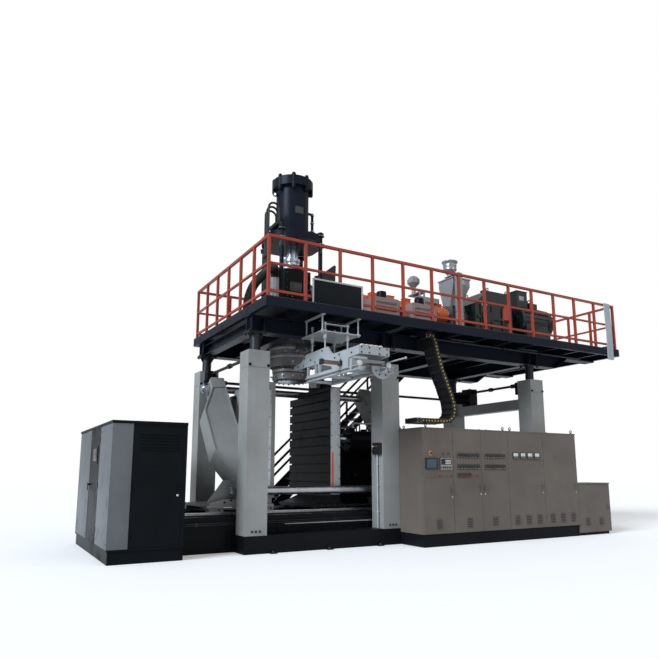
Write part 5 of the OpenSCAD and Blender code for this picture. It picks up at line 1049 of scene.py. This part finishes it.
def makeHydraulicTrim():
    y0, top, middle, pump = tank["front"], tank["top"], tank["middle"], tank["pump"]
    cap = turned([(0, 0), (0.07, 0), (0.072, 0.01), (0.072, 0.03), (0.06, 0.04), (0, 0.042)], 24)
    makePiece("tank_filler_caps", copies(cap, spots((1.8, 2.4), middle, top + 0.0595)), "black", "base")
    gauge = turned([(0, 0), (0.014, 0), (0.014, 0.04), (0.045, 0.044), (0.05, 0.05), (0.05, 0.075), (0.045, 0.08),
                    (0.04, 0.074), (0, 0.074)], 24)
    makePiece("tank_gauges", copies(gauge, spots((2.02, 2.16, 2.62), y0 + 0.0215, 2.02), toFront), "steel", "base")
    drive = turned([(0, 0), (0.14, 0), (0.14, 0.03), (0.12, 0.035), (0.12, 0.3), (0.13, 0.305), (0.13, 0.38),
                    (0.1, 0.4), (0, 0.4)], 28)
    makePiece("tank_pump_motor", placed(drive, (pump, middle, top - 0.0005)), "gear", "base")
    fins = copies(hoop(0.119, 0.128, 0, 0.006, 28), spots(pump, middle, top + np.arange(0.05, 0.29, 0.024)))
    makePiece("tank_pump_fins", fins, "gear", "base")
    lines = []
    for i in range(4):
        x, y, z = 2.02 + i * 0.09, 1.215 + i * 0.02, top + 0.14 + i * 0.03
        lines.append(pipeRun([(x, middle, top - 0.001), (x, middle, z), (x, y, z), (x, y, 0.62)], 0.018))
    makePiece("tank_pipes", together(*lines), body="base")
    boltPiece("tank_panel_screws",
              (0.016, 0.008, spots((1.57, 2.03, 2.47, 2.85), y0 + 0.022, (0.72, 1.3, 2.1)), toFront),
              finish="steel", body="base")


# switch box on the middle post: lamps over knobs, conduit to the floor
switchBox = {"x": 1.25, "ys": (-1.32, -1.245, -1.17), "lamps": 1.86, "knobs": 1.77}


def makeSwitchBoxTrim():
    x, ys = switchBox["x"], switchBox["ys"]
    lens = turned([(0, 0), (0.016, 0), (0.016, 0.012), (0.012, 0.018), (0, 0.02)], 16)
    for colour, y in zip(("red", "green", "white"), ys):
        makePiece("switch_lamp_" + colour, placed(lens, (x + 0.006, y, switchBox["lamps"]), toLeft), colour, "base")
    knob = turned([(0, 0), (0.02, 0), (0.02, 0.02), (0.014, 0.026), (0, 0.027)], 12)
    makePiece("switch_knobs", copies(knob, spots(x + 0.006, ys, switchBox["knobs"]), toLeft), "plastic", "base")
    conduit = pipeRun([(x + 0.035, -1.27, z) for z in (1.701, 1.0, 0.31)], 0.014)
    clips = blocks((x + 0.018, -1.3, 0), (1.3205, -1.24, 0.02), 0.003, zs=(0.6, 1.1, 1.5))
    makePiece("switch_box_conduit", together(conduit, clips), "paleSteel", "base")


makeRailTrim()
makeDeckTrim()
makePostTrim()
makeBedTrim()
makeLiftTrim()
makeHydraulicTrim()
makeSwitchBoxTrim()


# control cabinets: eyes, screen, programmer, lamps, buttons, controllers, meters, locks, painted shade in the vents
cabinet = {"front": -2.16, "top": 2.2}


def glassPane(x0, x1, z0, z1, y):
    # slightly crowned pane: its middle stands proud by a sine over both sides
    u = np.linspace(0, 1, 9)
    a, b = np.meshgrid(u, u, indexing="ij")
    crown = np.sin(np.pi * a) * np.sin(np.pi * b) * 0.0012
    face = np.stack([x0 + a * (x1 - x0), y - 0.001 - crown, z0 + b * (z1 - z0)], -1).reshape(-1, 3)
    return together((face, gridQuads(9, 9)), softBlock((x0, y - 0.001, z0), (x1, y + 0.001, z1), 0.0004))


def paintedVentShade(starts, width, low, height, y):
    # painted shade: thin dark strips in the gaps between a vent's six slats, from its lower edge up, standing for the
    # shade behind the slats
    pitch = height / 6
    gaps = [(0.003, 0.24 * pitch)] + [((i + 0.71) * pitch, (i + 1.24) * pitch) for i in range(5)]
    gaps.append((5.71 * pitch, height - 0.003))
    return together(*[blocks((0.004, y - 0.0064, low + z0), (width, y - 0.0055, low + z1), 0.0002, starts)
                      for z0, z1 in gaps])


def fascia(x, z, width, height, y):
    # thin black face over one controller: a frame round its window and a field under it
    line, e = z + height * 0.41, 0.0005
    window = barFrame(x + e, x + width - e, line, z + height - e, 0.0066, y - 0.0167, y - 0.0157, 0.0003)
    return together(window, softBlock((x + e, y - 0.0167, z + e), (x + width - e, y - 0.0157, line), 0.0003))


def windowPane(x, z, width, height, y, edge):
    # flat pane in the upper half of a controller or meter
    low, high = (x + edge, y - 0.0135, z + height * 0.43), (x + width - edge, y - 0.0108, z + height - edge)
    return softBlock(low, high, 0.0008)


def lampsAt(places, depth):
    # domed caps on a door, at places (x, z)
    lens = turned([(0, 0), (0.0135, 0), (0.0135, 0.004), (0.009, 0.009), (0, 0.011)], 20)
    return copies(lens, [(x, cabinet["front"] - depth, z) for x, z in places], toFront)


def makeOperatorTrim():
    y = cabinet["front"]
    eyes = spots((1.8, 3.8, 4.0, 5.88), (-2.14, -1.46), cabinet["top"] - 0.001)
    makePiece("cabinet_eyes", copies(liftingEye(0.07), eyes), body="base")
    makePiece("operator_screen", glassPane(1.786, 2.022, 1.442, 1.60, y - 0.018), "screen", "door_1")
    makePiece("programmer_window", glassPane(2.135, 2.21, 1.515, 1.60, y - 0.016), "glassBlack", "door_1")
    makePiece("programmer_keys", blocks((2.235, y - 0.021, 1.512), (2.26, y - 0.0155, 1.532), 0.002,
                                        0.034 * np.arange(4), 0, 0.03 * np.arange(3)), "white", "door_1")
    face = together(barFrame(2.111, 2.393, 1.403, 1.625, 0.0115, y - 0.0245, y - 0.0215),
                    softBlock((2.122, y - 0.0245, 1.477), (2.382, y - 0.0215, 1.498), 0.001),
                    blocks((2.129, y - 0.0295, 1.419), (2.163, y - 0.0275, 1.437), 0.001, 0.052 * np.arange(5), 0,
                           (0, 0.034)))
    makePiece("programmer_face", face, "panel", "door_1")
    makePiece("screen_rim", barFrame(1.764, 2.044, 1.418, 1.622, 0.014, y - 0.0252, y - 0.0235), "plastic", "door_1")
    buttons = [(1.8 + i * 0.096, 1.29) for i in range(1, 7)]
    makePiece("red_caps", lampsAt(buttons[1::3], 0.0195), "red", "door_1")
    makePiece("green_caps", lampsAt(buttons[0::3], 0.0195), "green", "door_1")
    switches = lampsAt([(2.182, 1.711), (2.318, 1.711)], 0.0235)
    makePiece("dark_caps", together(lampsAt(buttons[2::3], 0.0195), switches), "plastic", "door_1")
    collar = turned([(0.0335, -0.001), (0.044, -0.001), (0.045, 0.001), (0.043, 0.003), (0.0335, 0.003),
                     (0.0335, -0.001)], 32)
    makePiece("stop_collar", placed(collar, (1.894, y - 0.001, 1.716), toFront), "yellow", "door_1")


def makeControllerTrim():
    y = cabinet["front"]
    key = turned([(0, 0), (0.0052, 0), (0.0048, 0.0008), (0, 0.001)], 10)
    for body, x0, pitch, w in (("door_2", 2.538, 0.073, 0.062), ("door_3", 3.25, 0.071, 0.06)):
        cells = [(x0 + i * pitch, z, h) for i in range(8) for z, h in ((1.631, 0.086), (1.413, 0.092))]
        door = body.replace("_", "")
        panes = [windowPane(x, z, w, h, y, 0.0075) for x, z, h in cells]
        makePiece(door + "_windows", together(*panes), "digits", body)
        makePiece(door + "_fascias", together(*[fascia(x, z, w, h, y) for x, z, h in cells]), "plastic", body)
        makePiece(door + "_lamps", lampsAt([(x + 0.031, z + 0.124) for x, z, _ in cells], 0.0095), "amber", body)
        places = [(x + w * k, y - 0.0195, z + h * 0.2) for x, z, h in cells for k in (0.3, 0.7)]
        makePiece(door + "_keys", copies(key, places, toFront), "white", body)
    pitch = 0.124
    panes = blocks((2.534, y - 0.0135, 1.296), (2.623, y - 0.0108, 1.337), 0.0008, pitch * np.arange(3))
    makePiece("counter_windows", panes, "digits", "door_2")
    counters = copies(fascia(2.526, 1.258, 0.105, 0.087, y), spots(pitch * np.arange(3), 0, 0))
    makePiece("counter_fascias", counters, "meter", "door_2")
    makePiece("counter_lamps", lampsAt([(2.95 + i * 0.056, 1.301) for i in range(3)], 0.0115), "red", "door_2")


def makeMeterTrim():
    y, z0, w, h = cabinet["front"], 1.629, 0.147, 0.129
    starts = 4.042 + 0.208 * np.arange(4)
    faces, hands = [], []
    for i, x in enumerate(starts):
        faces.append(windowPane(x, z0, w, h, y, 0.008))
        turn, middle = math.radians(118 - 9 * i), (x + w / 2, y, z0 + h * 0.45)
        hands.append(spoke(np.subtract(middle, (0, 0.0145, 0)), (math.cos(turn), 0, math.sin(turn)),
                           (0, 0.02, 0.052), 0.0011, 6))
    ticks = together(*[spoke((w / 2, y - 0.0138, z0 + h * 0.45), (math.cos(a), 0, math.sin(a)), (0.05, 0.053, 0.056),
                             0.0008, 5) for a in np.radians(np.linspace(35, 145, 9))])
    makePiece("meter_faces", together(*faces), "white", "door_4")
    makePiece("meter_needles", together(*hands, copies(ticks, spots(starts, 0, 0))), "plastic", "door_4")
    rim = barFrame(-0.004, 0.151, 1.625, 1.762, 0.01, y - 0.0163, y - 0.001)
    makePiece("meter_frames", copies(rim, spots(starts, 0, 0)), "plastic", "door_4")


# per door: place of its lock and left edges of its vents
doors = {"door_1": (2.392, 0.9, [1.99]), "door_2": (3.125, 0.94, [2.74]), "door_3": (3.24, 0.94, [3.41]),
         "door_4": (4.88, 0.94, [4.02, 4.34, 4.66]), "door_5": (5.92, 0.94, [5.06, 5.38, 5.7])}


def makeLocksAndVents():
    y = cabinet["front"]
    barrel = [(0, 0), (0.012, 0), (0.012, 0.003), (0.009, 0.006), (0.003, 0.006), (0.003, 0.004), (0, 0.004)]
    lock = together(turned(barrel, 20), turned([(0, 0), (0.017, 0), (0.017, 0.0025), (0, 0.0025)], 24))
    for door, (x, z, _) in doors.items():
        makePiece(door.replace("_", "") + "_lock", placed(lock, (x, y - 0.001, z), toFront), "steel", door)
    # the dark strips in each vent's gaps are painted shade
    for door, (_, _, starts) in doors.items():
        makePiece(door.replace("_", "") + "_vent_painted_shade", paintedVentShade(starts, 0.141, 0.31, 0.19, y), "plastic", door)
    makePiece("small_door_vent_painted_shade", paintedVentShade((6.163, 6.623), 0.146, 0.2, 0.18, y), "plastic", "small_door")


# power cabinet: light corner panels with their fasteners, lock, bare plate, rear vents
power = {"x0": -3.72, "front": -1.51, "rear": 1.8, "low": 0.19, "top": 2.11, "sheet": 0.004}


def makePowerTrim():
    x, y, sheet, low, top = power["x0"], power["front"], power["sheet"], power["low"] + 0.03, power["top"] - 0.004
    front = softBlock((x + 0.001, y - sheet, low), (x + 0.306, y + 0.001, top), 0.0018, True)
    ends = [softBlock((x - sheet, y0, low), (x + 0.001, y1, top), 0.0018, True)
            for y0, y1 in ((y - sheet, -0.482), (0.482, power["rear"] - 0.01))]
    makePiece("pillar_panels", together(front, *ends), "pillar", "base")
    grip = turned([(0, 0), (0.014, 0), (0.014, 0.002), (0.01, 0.005), (0, 0.006)], 16)
    makePiece("pillar_fasteners", copies(grip, spots(x - sheet, (-1.44, -0.55, 0.56, 1.72), (0.3, 2.02)), toLeft),
              body="base")
    lock = turned([(0, 0), (0.02, 0), (0.02, 0.004), (0.016, 0.008), (0.004, 0.008), (0.004, 0.005), (0, 0.005)], 24)
    makePiece("louvre_door_lock", placed(lock, (-2.685, y - 0.001, 1.0), toFront), "steel", "louvre_door")
    plate = softBlock((-3.732, -0.24, 1.55), (-3.7275, 0.14, 1.76), 0.0015)
    makePiece("end_door_bare_plate", plate, "glassBlack", "end_door")
    ribs = blocks((-3.2, 1.7995, 0.5), (-3.18, 1.806, 1.2), 0.002, 0.05 * np.arange(9))
    makePiece("rear_vent_ribs", ribs, "cabinetBlack", "base")


makeOperatorTrim()
makeControllerTrim()
makeMeterTrim()
makeLocksAndVents()
makePowerTrim()
print("base trim made")


# clamp: bar threads (where each starts, its length), arm screws, eyes, cylinder bolts and pipe, manifold, shoe bolts
clamp = {"low": (-0.78, 1.025), "high": (0.98, 3.08), "bar": 0.075, "armFaces": (-1.11, 2.29),
         "axis": (0.1, 2.0525), "threads": ((-1.572, 0.037), (2.716, 0.028))}
spigot = [(0, 0), (0.013, 0), (0.013, 0.01), (0.009, 0.014), (0.011, 0.018), (0.009, 0.022), (0.011, 0.026),
          (0.008, 0.032), (0, 0.032)]


def makeArmTrim():
    start, high = np.array([0, *clamp["low"]]), np.array([0, *clamp["high"]])
    threads = [copies(threadCrests(clamp["bar"], 0, length, 0.009), [start + (x, 0, 0), high + (x, 0, 0)], toRight)
               for x, length in clamp["threads"]]
    makePiece("tie_bar_threads", together(*threads), "steel", "clamp_frame")
    along = (high - start) / np.linalg.norm(high - start)
    across = np.cross(toRight, along)
    faces = [[start + along * s + across * t + (x, 0, 0) for s in np.linspace(0.35, 2.35, 9) for t in (-0.163, 0.163)]
             for x in clamp["armFaces"]]
    boltPiece("arm_face_screws", (0.03, 0.018, faces[0], toRight), (0.03, 0.018, faces[1], toLeft), body="clamp_frame")
    eyes = copies(liftingEye(0.12), [start + along * 2.866 + (x, 0, 0) for x in (-1.3, 2.48)], along)
    makePiece("arm_lifting_eyes", eyes, body="clamp_frame")


def makeClampTrim():
    y, z = clamp["axis"]
    for name, across, height, count, radius, x, way in (
            ("cylinder_flange_bolts", 0.042, 0.026, 12, 0.25, 2.2197, toLeft),
            ("cylinder_head_bolts", 0.036, 0.022, 10, 0.2, 1.42, toLeft),
            ("cylinder_back_bolts", 0.036, 0.022, 12, 0.2, 3.11, toRight)):
        boltPiece(name, (across, height, uprightRing(count, radius, x, y, z), way), body="clamp_frame")
    pipe = pipeRun([(1.57, y, 2.312), (1.57, y, 2.42), (2.12, y, 2.42), (2.12, 0.34, 2.42), (2.12, 0.42, 2.2)], 0.02)
    nut = turned([(0.0, 0), (0.05, 0), (0.05, 0.02), (0.03, 0.03), (0, 0.03)], 6)
    makePiece("cylinder_pipe", together(pipe, placed(nut, (1.57, y, 2.312))), "steel", "clamp_frame")
    boltPiece("thrust_cone_bolts", (0.034, 0.02, uprightRing(16, 0.285, -0.95, y, z), toLeft), body="clamp_frame")
    spigots = copies(turned(spigot, 12), spots(-0.77, -0.7345, np.linspace(1.2, 2.8, 9)), toFront)
    makePiece("left_water_manifold", together(softBlock((-0.80, -0.735, 1.1), (-0.74, -0.699, 2.9), 0.006), spigots),
              "steel", "clamp_frame")
    boltPiece("left_shoe_bolts", (0.028, 0.016, spots((-1.9, -1.7, -0.9, -0.7), -0.6855, 0.70), toFront),
              body="clamp_frame")
    foot = [(x, -0.7305, z) for x, z in ((-1.36, 0.86), (-1.5, 0.86), (-1.62, 0.83), (-1.2, 0.9))]
    boltPiece("left_foot_bolts", (0.03, 0.018, foot, toFront), body="clamp_frame")


# moving platen: pale edge with its mark and screws, ram seat bolts, eyes, water spigots, foot bolts
platen = {"x0": 0.55, "x1": 0.79, "front": -0.7055}


def makePlatenTrim():
    x0, x1, y = platen["x0"], platen["x1"], platen["front"]
    body = "moving_platen"
    edge = softBlock((x0 + 0.012, y - 0.0005, 0.93), (x1 - 0.012, y + 0.007, 3.04), 0.003, True)
    makePiece("right_platen_edge", edge, "paleSteel", body)
    mark = softBlock((x0 + 0.03, y - 0.004, 0.96), (x0 + 0.075, y, 1.75), 0.0015)
    makePiece("platen_edge_mark", mark, "bandOrange", body)
    screws = spots((x0 + 0.03, x1 - 0.03), y, np.linspace(1.85, 3.0, 6)) + spots(x1 - 0.03, y, np.linspace(1.0, 1.7, 4))
    boltPiece("platen_edge_screws", (0.018, 0.01, screws, toFront), body=body)
    boltPiece("ram_seat_bolts", (0.034, 0.02, uprightRing(12, 0.19, 0.85, *clamp["axis"], 0.13), toRight), body=body)
    makePiece("platen_eyes", copies(liftingEye(0.12), spots(0.67, (-0.4, 0.4), 3.059)), body=body)
    spigots = copies(turned(spigot, 12), spots(0.72, y, np.linspace(1.9, 2.9, 7)), toFront)
    makePiece("right_water_spigots", spigots, "steel", body)
    foot = spots((0.2, 0.35, 0.5, 0.65, 0.78), -0.7105, 0.72)
    boltPiece("platen_foot_bolts", (0.028, 0.016, foot, toFront), body=body)


# accumulator head: bands with lugs and screws, thermocouple stubs, box lids
head = {"radius": 0.445, "lowRadius": 0.435, "bands": (3.70, 3.87, 4.05, 4.19), "lugTurns": (-62, -118, 62, 118),
        "stubs": ((3.785, (-50, -75, -100, -130, 40, 80, 140)), (3.96, (-40, -140, 100, 150)),
                  (3.56, (-65, -110, 60, 120)))}


def makeHeadTrim():
    r = head["radius"]
    bands = [band(r - 0.002, r + 0.007, z - 0.045, z + 0.045, (0.001, 0.003), 64) for z in head["bands"]]
    makePiece("head_heater_bands", together(*bands), "heatBand")
    lug = blocks((r + 0.005, -0.006, -0.036), (r + 0.038, 0.006, 0.036), 0.003, ys=(-0.022, 0.022))
    screw = copies(lineBead((r + 0.022, -0.04, 0), (r + 0.022, 0.04, 0), 0.005, 8), spots(0, 0, (-0.022, 0.022)))
    for name, part, finish in (("head_band_lugs", lug, "heatSteel"), ("head_band_screws", screw, "steel")):
        ring = together(*[rolled(part, t) for t in np.radians(head["lugTurns"])])
        makePiece(name, copies(ring, spots(0, 0, head["bands"])), finish)
    stub = turned([(0, 0), (0.02, 0), (0.02, 0.012), (0.013, 0.016), (0.013, 0.05), (0.018, 0.052), (0.018, 0.075),
                   (0, 0.077)], 14)
    stubs = []
    for z, angles in head["stubs"]:
        reach = (r if z > 3.62 else head["lowRadius"]) - 0.002
        for t in np.radians(angles):
            c, s = math.cos(t), math.sin(t)
            stubs.append(placed(stub, (reach * c, reach * s, z), (c, s, 0)))
    makePiece("thermocouple_stubs", together(*stubs), "steel")
    lids = [softBlock((-0.094, -r - 0.036, 3.796), (0.094, -r - 0.029, 3.934), 0.003),
            softBlock((-0.094, r + 0.029, 3.796), (0.094, r + 0.036, 3.934), 0.003),
            softBlock((-r - 0.026, -0.114, 3.976), (-r - 0.019, 0.114, 4.114), 0.003)]
    screws = boltsAt(0.01, 0.005, spots((-0.082, 0.082), -r - 0.0355, (3.808, 3.922)), toFront)
    makePiece("head_box_lids", together(*lids, screws), "panelGrey")


# die: bolts from below, centring screws, heater band, leads up to the deck
die = {"radius": 0.366, "screws": 3.29, "low": 3.2005, "flange": 3.481}


def makeDieTrim():
    r = head["radius"]
    boltPiece("die_bolts", (0.032, 0.02, ringPlaces(20, 0.395, die["flange"], 9), toFloor),
              (0.03, 0.02, ringPlaces(18, 0.33, die["low"], 10), toFloor))
    screw = turned([(0, 0), (0.016, 0), (0.016, 0.03), (0.02, 0.032), (0.02, 0.05), (0.008, 0.052), (0.008, 0.044),
                    (0, 0.044)], 12)
    ways = [(math.cos(t), math.sin(t), 0) for t in np.arange(12) * np.pi / 6 + 0.2]
    screws = [placed(screw, (die["radius"] * c, die["radius"] * s, die["screws"]), (c, s, 0)) for c, s, _ in ways]
    makePiece("die_centring_screws", together(*screws), "steel")
    makePiece("die_heater_band", band(0.3705, 0.38, 3.375, 3.431, (0.001, 0.003), 64), "heatBand")
    lead = pipeRun([(0, -r - 0.01, 3.925), (0, -r - 0.01, 4.1), (0, -r + 0.03, 4.15)], 0.008, 8)
    makePiece("head_lead_pipes", copies(lead, spots((-0.06, 0, 0.06), 0, 0)), "paleSteel")


# chain: yellow dots on its front edge, lines inside it, pin caps behind, bolts at both ends
chain = {"front": -1.73, "back": -1.37, "lines": np.linspace(-1.68, -1.42, 6), "dotPitch": 0.075}
chainPath = np.array([(2.27, 4.14), (2.40, 4.11), (2.455, 3.98), (2.5, 3.79), (2.548, 3.64), (2.594, 3.49),
                      (2.65, 3.34), (2.716, 3.195), (2.778, 3.05), (2.838, 2.905), (2.888, 2.765), (2.908, 2.62),
                      (2.875, 2.49), (2.78, 2.405), (2.65, 2.38), (2.5, 2.375), (2.34, 2.372), (2.18, 2.371),
                      (2.02, 2.371)])


def makeChainTrim():
    step = np.concatenate([[0], np.cumsum(np.linalg.norm(np.diff(chainPath, axis=0), axis=1))])
    even = np.arange(0.05, step[-1], chain["dotPitch"])
    x, z = np.interp(even, step, chainPath[:, 0]), np.interp(even, step, chainPath[:, 1])
    dot = turned([(0, 0), (0.017, 0), (0.016, 0.003), (0.01, 0.005), (0, 0.0055)], 12)
    makePiece("chain_dots", copies(dot, np.stack([x, np.full(len(x), chain["front"]), z], 1), toFront), "yellow")
    line = tube(smoothLine([(px, 0, pz) for px, pz in chainPath], 4), 0.021, 8)
    makePiece("chain_lines", copies(line, spots(0, chain["lines"], 0)), "rubber")
    cap = turned([(0, 0), (0.022, 0), (0.022, 0.003), (0.012, 0.006), (0, 0.006)], 16)
    pins = [(px, chain["back"] + 0.004, pz) for px, pz in chainPath[:-1]]
    makePiece("chain_pin_caps", copies(cap, pins, toRear), "plastic")
    y = chain["front"] - 0.0105
    ends = spots((2.21, 2.28), y, (4.08, 4.12)) + spots((1.93, 2.01), y, (2.34, 2.40))
    boltPiece("chain_end_bolts", (0.016, 0.01, ends, toFront), finish="steel")


# stairs: grip bars on the treads and the bolts at their ends
stairs = {"steps": 19, "x": 0.26, "run": 4.48 / 19, "z": 0.23, "rise": 4.12 / 19}


def makeStairTrim():
    i = np.arange(stairs["steps"])
    x, z = stairs["x"] + i * stairs["run"], stairs["z"] + (i + 0.55) * stairs["rise"]
    bars = blocks((0.012, 2.045, -0.0005), (0.03, 2.695, 0.0045), 0.002, 0.055 * np.arange(4))
    makePiece("tread_grips", copies(bars, np.stack([x, 0 * x, z], 1)))
    boltPiece("stair_bolts", (0.018, 0.01, np.stack([x + 0.115, 0 * x + 2.0195, z - 0.015], 1), toFront))


makeArmTrim()
makeClampTrim()
makePlatenTrim()
makeHeadTrim()
makeDieTrim()
makeChainTrim()
makeStairTrim()


# manipulator frame: rod nuts, hole rims, air cylinder, valves, plate bolts
frameRods = {"x": (-0.35, 0.4), "y": (-2.0, -1.39), "valves": 0.09 * np.arange(5)}


def makeManipulatorTrim():
    rods = frameRods["x"], frameRods["y"]
    boltPiece("manipulator_rod_nuts", (0.044, 0.026, spots((-0.285, 0.185), (-1.98, -1.5), 3.9895)),
              (0.044, 0.024, spots(*rods, 3.8495)), (0.044, 0.024, spots(*rods, 3.8285), toFloor), finish="steel")
    rim = crestedHoop(0.0295, 0.038, 0.039, 0.003, 24)
    makePiece("plate_hole_rims", copies(rim, spots((-0.301, 0.301), (-1.64, -1.18, -2.5), 3.33), toRight), "takeOut")
    makePiece("air_cylinder_skin", placed(sleeve(0.0323, 0.034, 0.298, 32), (-0.652, -2.56, 3.17), toRight), "copper")
    makePiece("air_cylinder_ends", blocks((-0.003, -2.605, 3.125), (0.049, -2.515, 3.215), 0.008, (-0.7, -0.345)),
              "blueBlack")
    fitting = turned([(0, 0), (0.014, 0), (0.014, 0.012), (0.009, 0.016), (0.009, 0.03), (0.012, 0.032),
                      (0.012, 0.046), (0, 0.047)], 12)
    makePiece("air_fittings", copies(fitting, spots((-0.677, -0.322), -2.56, 3.2145)), "steel")
    boltPiece("front_plate_bolts", (0.022, 0.012, spots((-0.25, -0.1, 0.1, 0.25), -3.1245, (3.275, 3.363)), toFront))
    side = [(-1.46, 3.40), (-1.9, 3.5), (-2.35, 3.3), (-2.9, 3.3), (-1.23, 3.47), (-0.95, 3.35)]
    boltPiece("side_plate_bolts", *[(0.024, 0.014, [(s * 0.3, y, z) for y, z in side], (s, 0, 0)) for s in (-1, 1)])
    xs = frameRods["valves"]
    makePiece("air_valve_bodies", blocks((-0.2, -3.06, 3.352), (-0.125, -2.86, 3.41), 0.006, xs), "blueBlack")
    makePiece("air_valve_coils", blocks((-0.195, -3.03, 3.409), (-0.13, -2.97, 3.44), 0.008, xs), "white")


# take-out carriage: spool caps, skin of the cross bar, rim and bolts of the half-round plate, rail bolts
carriage = {"centre": (0.29, 3.106), "plate": -2.9245, "rim": 0.2, "bolts": 0.15}


def makeCarriageTrim():
    body, (x0, z0), y = "take_out", carriage["centre"], carriage["plate"]
    spool = turned([(0, 0), (0.046, 0), (0.048, 0.003), (0.046, 0.008), (0.03, 0.01), (0.012, 0.012), (0.012, 0.02),
                    (0, 0.02)], 28)
    makePiece("spool_caps", copies(spool, spots((-0.19, 0.387), -2.9745, 3.13), toFront), "white", body)
    skin = placed(sleeve(0.0203, 0.0222, 0.558, 28), (-0.24, -2.865, 3.12), toRight)
    makePiece("cross_bar_skin", skin, "copper", body)
    arc = [(x0 + carriage["rim"] * math.cos(t), y - 0.0025, z0 + carriage["rim"] * math.sin(t))
           for t in np.linspace(0, -np.pi, 25)]
    makePiece("half_round_rim", tube(arc, 0.009, 10), "takeOut", body)
    holes = [(x0 + carriage["bolts"] * math.cos(t), y, z0 + carriage["bolts"] * math.sin(t))
             for t in np.radians([-30, -65, -115, -150])]
    boltPiece("half_round_bolts", (0.022, 0.012, holes, toFront), body=body)
    boltPiece("carriage_rail_bolts", (0.018, 0.01, spots(-0.3, np.linspace(-2.9, -1.35, 8), 3.04), toLeft),
              (0.034, 0.02, [(0.4, -3.4295, 3.19)], toFront), finish="steel", body=body)


# under the deck: bolts at the cross beams, lamps, pipes with their clips
def makeGirderTrim():
    xs, zs = around((-0.6, 0.6, 3.6), (-0.05, 0.05)), (3.93, 4.0, 4.07)
    boltPiece("girder_web_bolts", (0.026, 0.016, spots(xs, -1.2275, zs), toFront),
              (0.026, 0.016, spots(xs, 1.5075, zs), toRear))
    lights = blocks((0, -1.6, 4.135), (0.6, -1.54, 4.1505), 0.004, (-0.2, 3.0, 5.0))
    makePiece("under_deck_lamps", lights, "panelGrey")
    pipe = pipeRun([(x, 0, 4.12) for x in (2.0, 5.0, 7.2)], 0.014)
    clips = blocks((-0.015, -1.53, 4.1), (0.015, -1.42, 4.151), 0.004, (2.2, 3.4, 4.6, 5.8, 7.0))
    makePiece("under_deck_pipes", together(copies(pipe, spots(0, (-1.45, -1.5), 0)), clips))


makeManipulatorTrim()
makeCarriageTrim()
makeGirderTrim()
print("clamp, head and manipulator trim made")
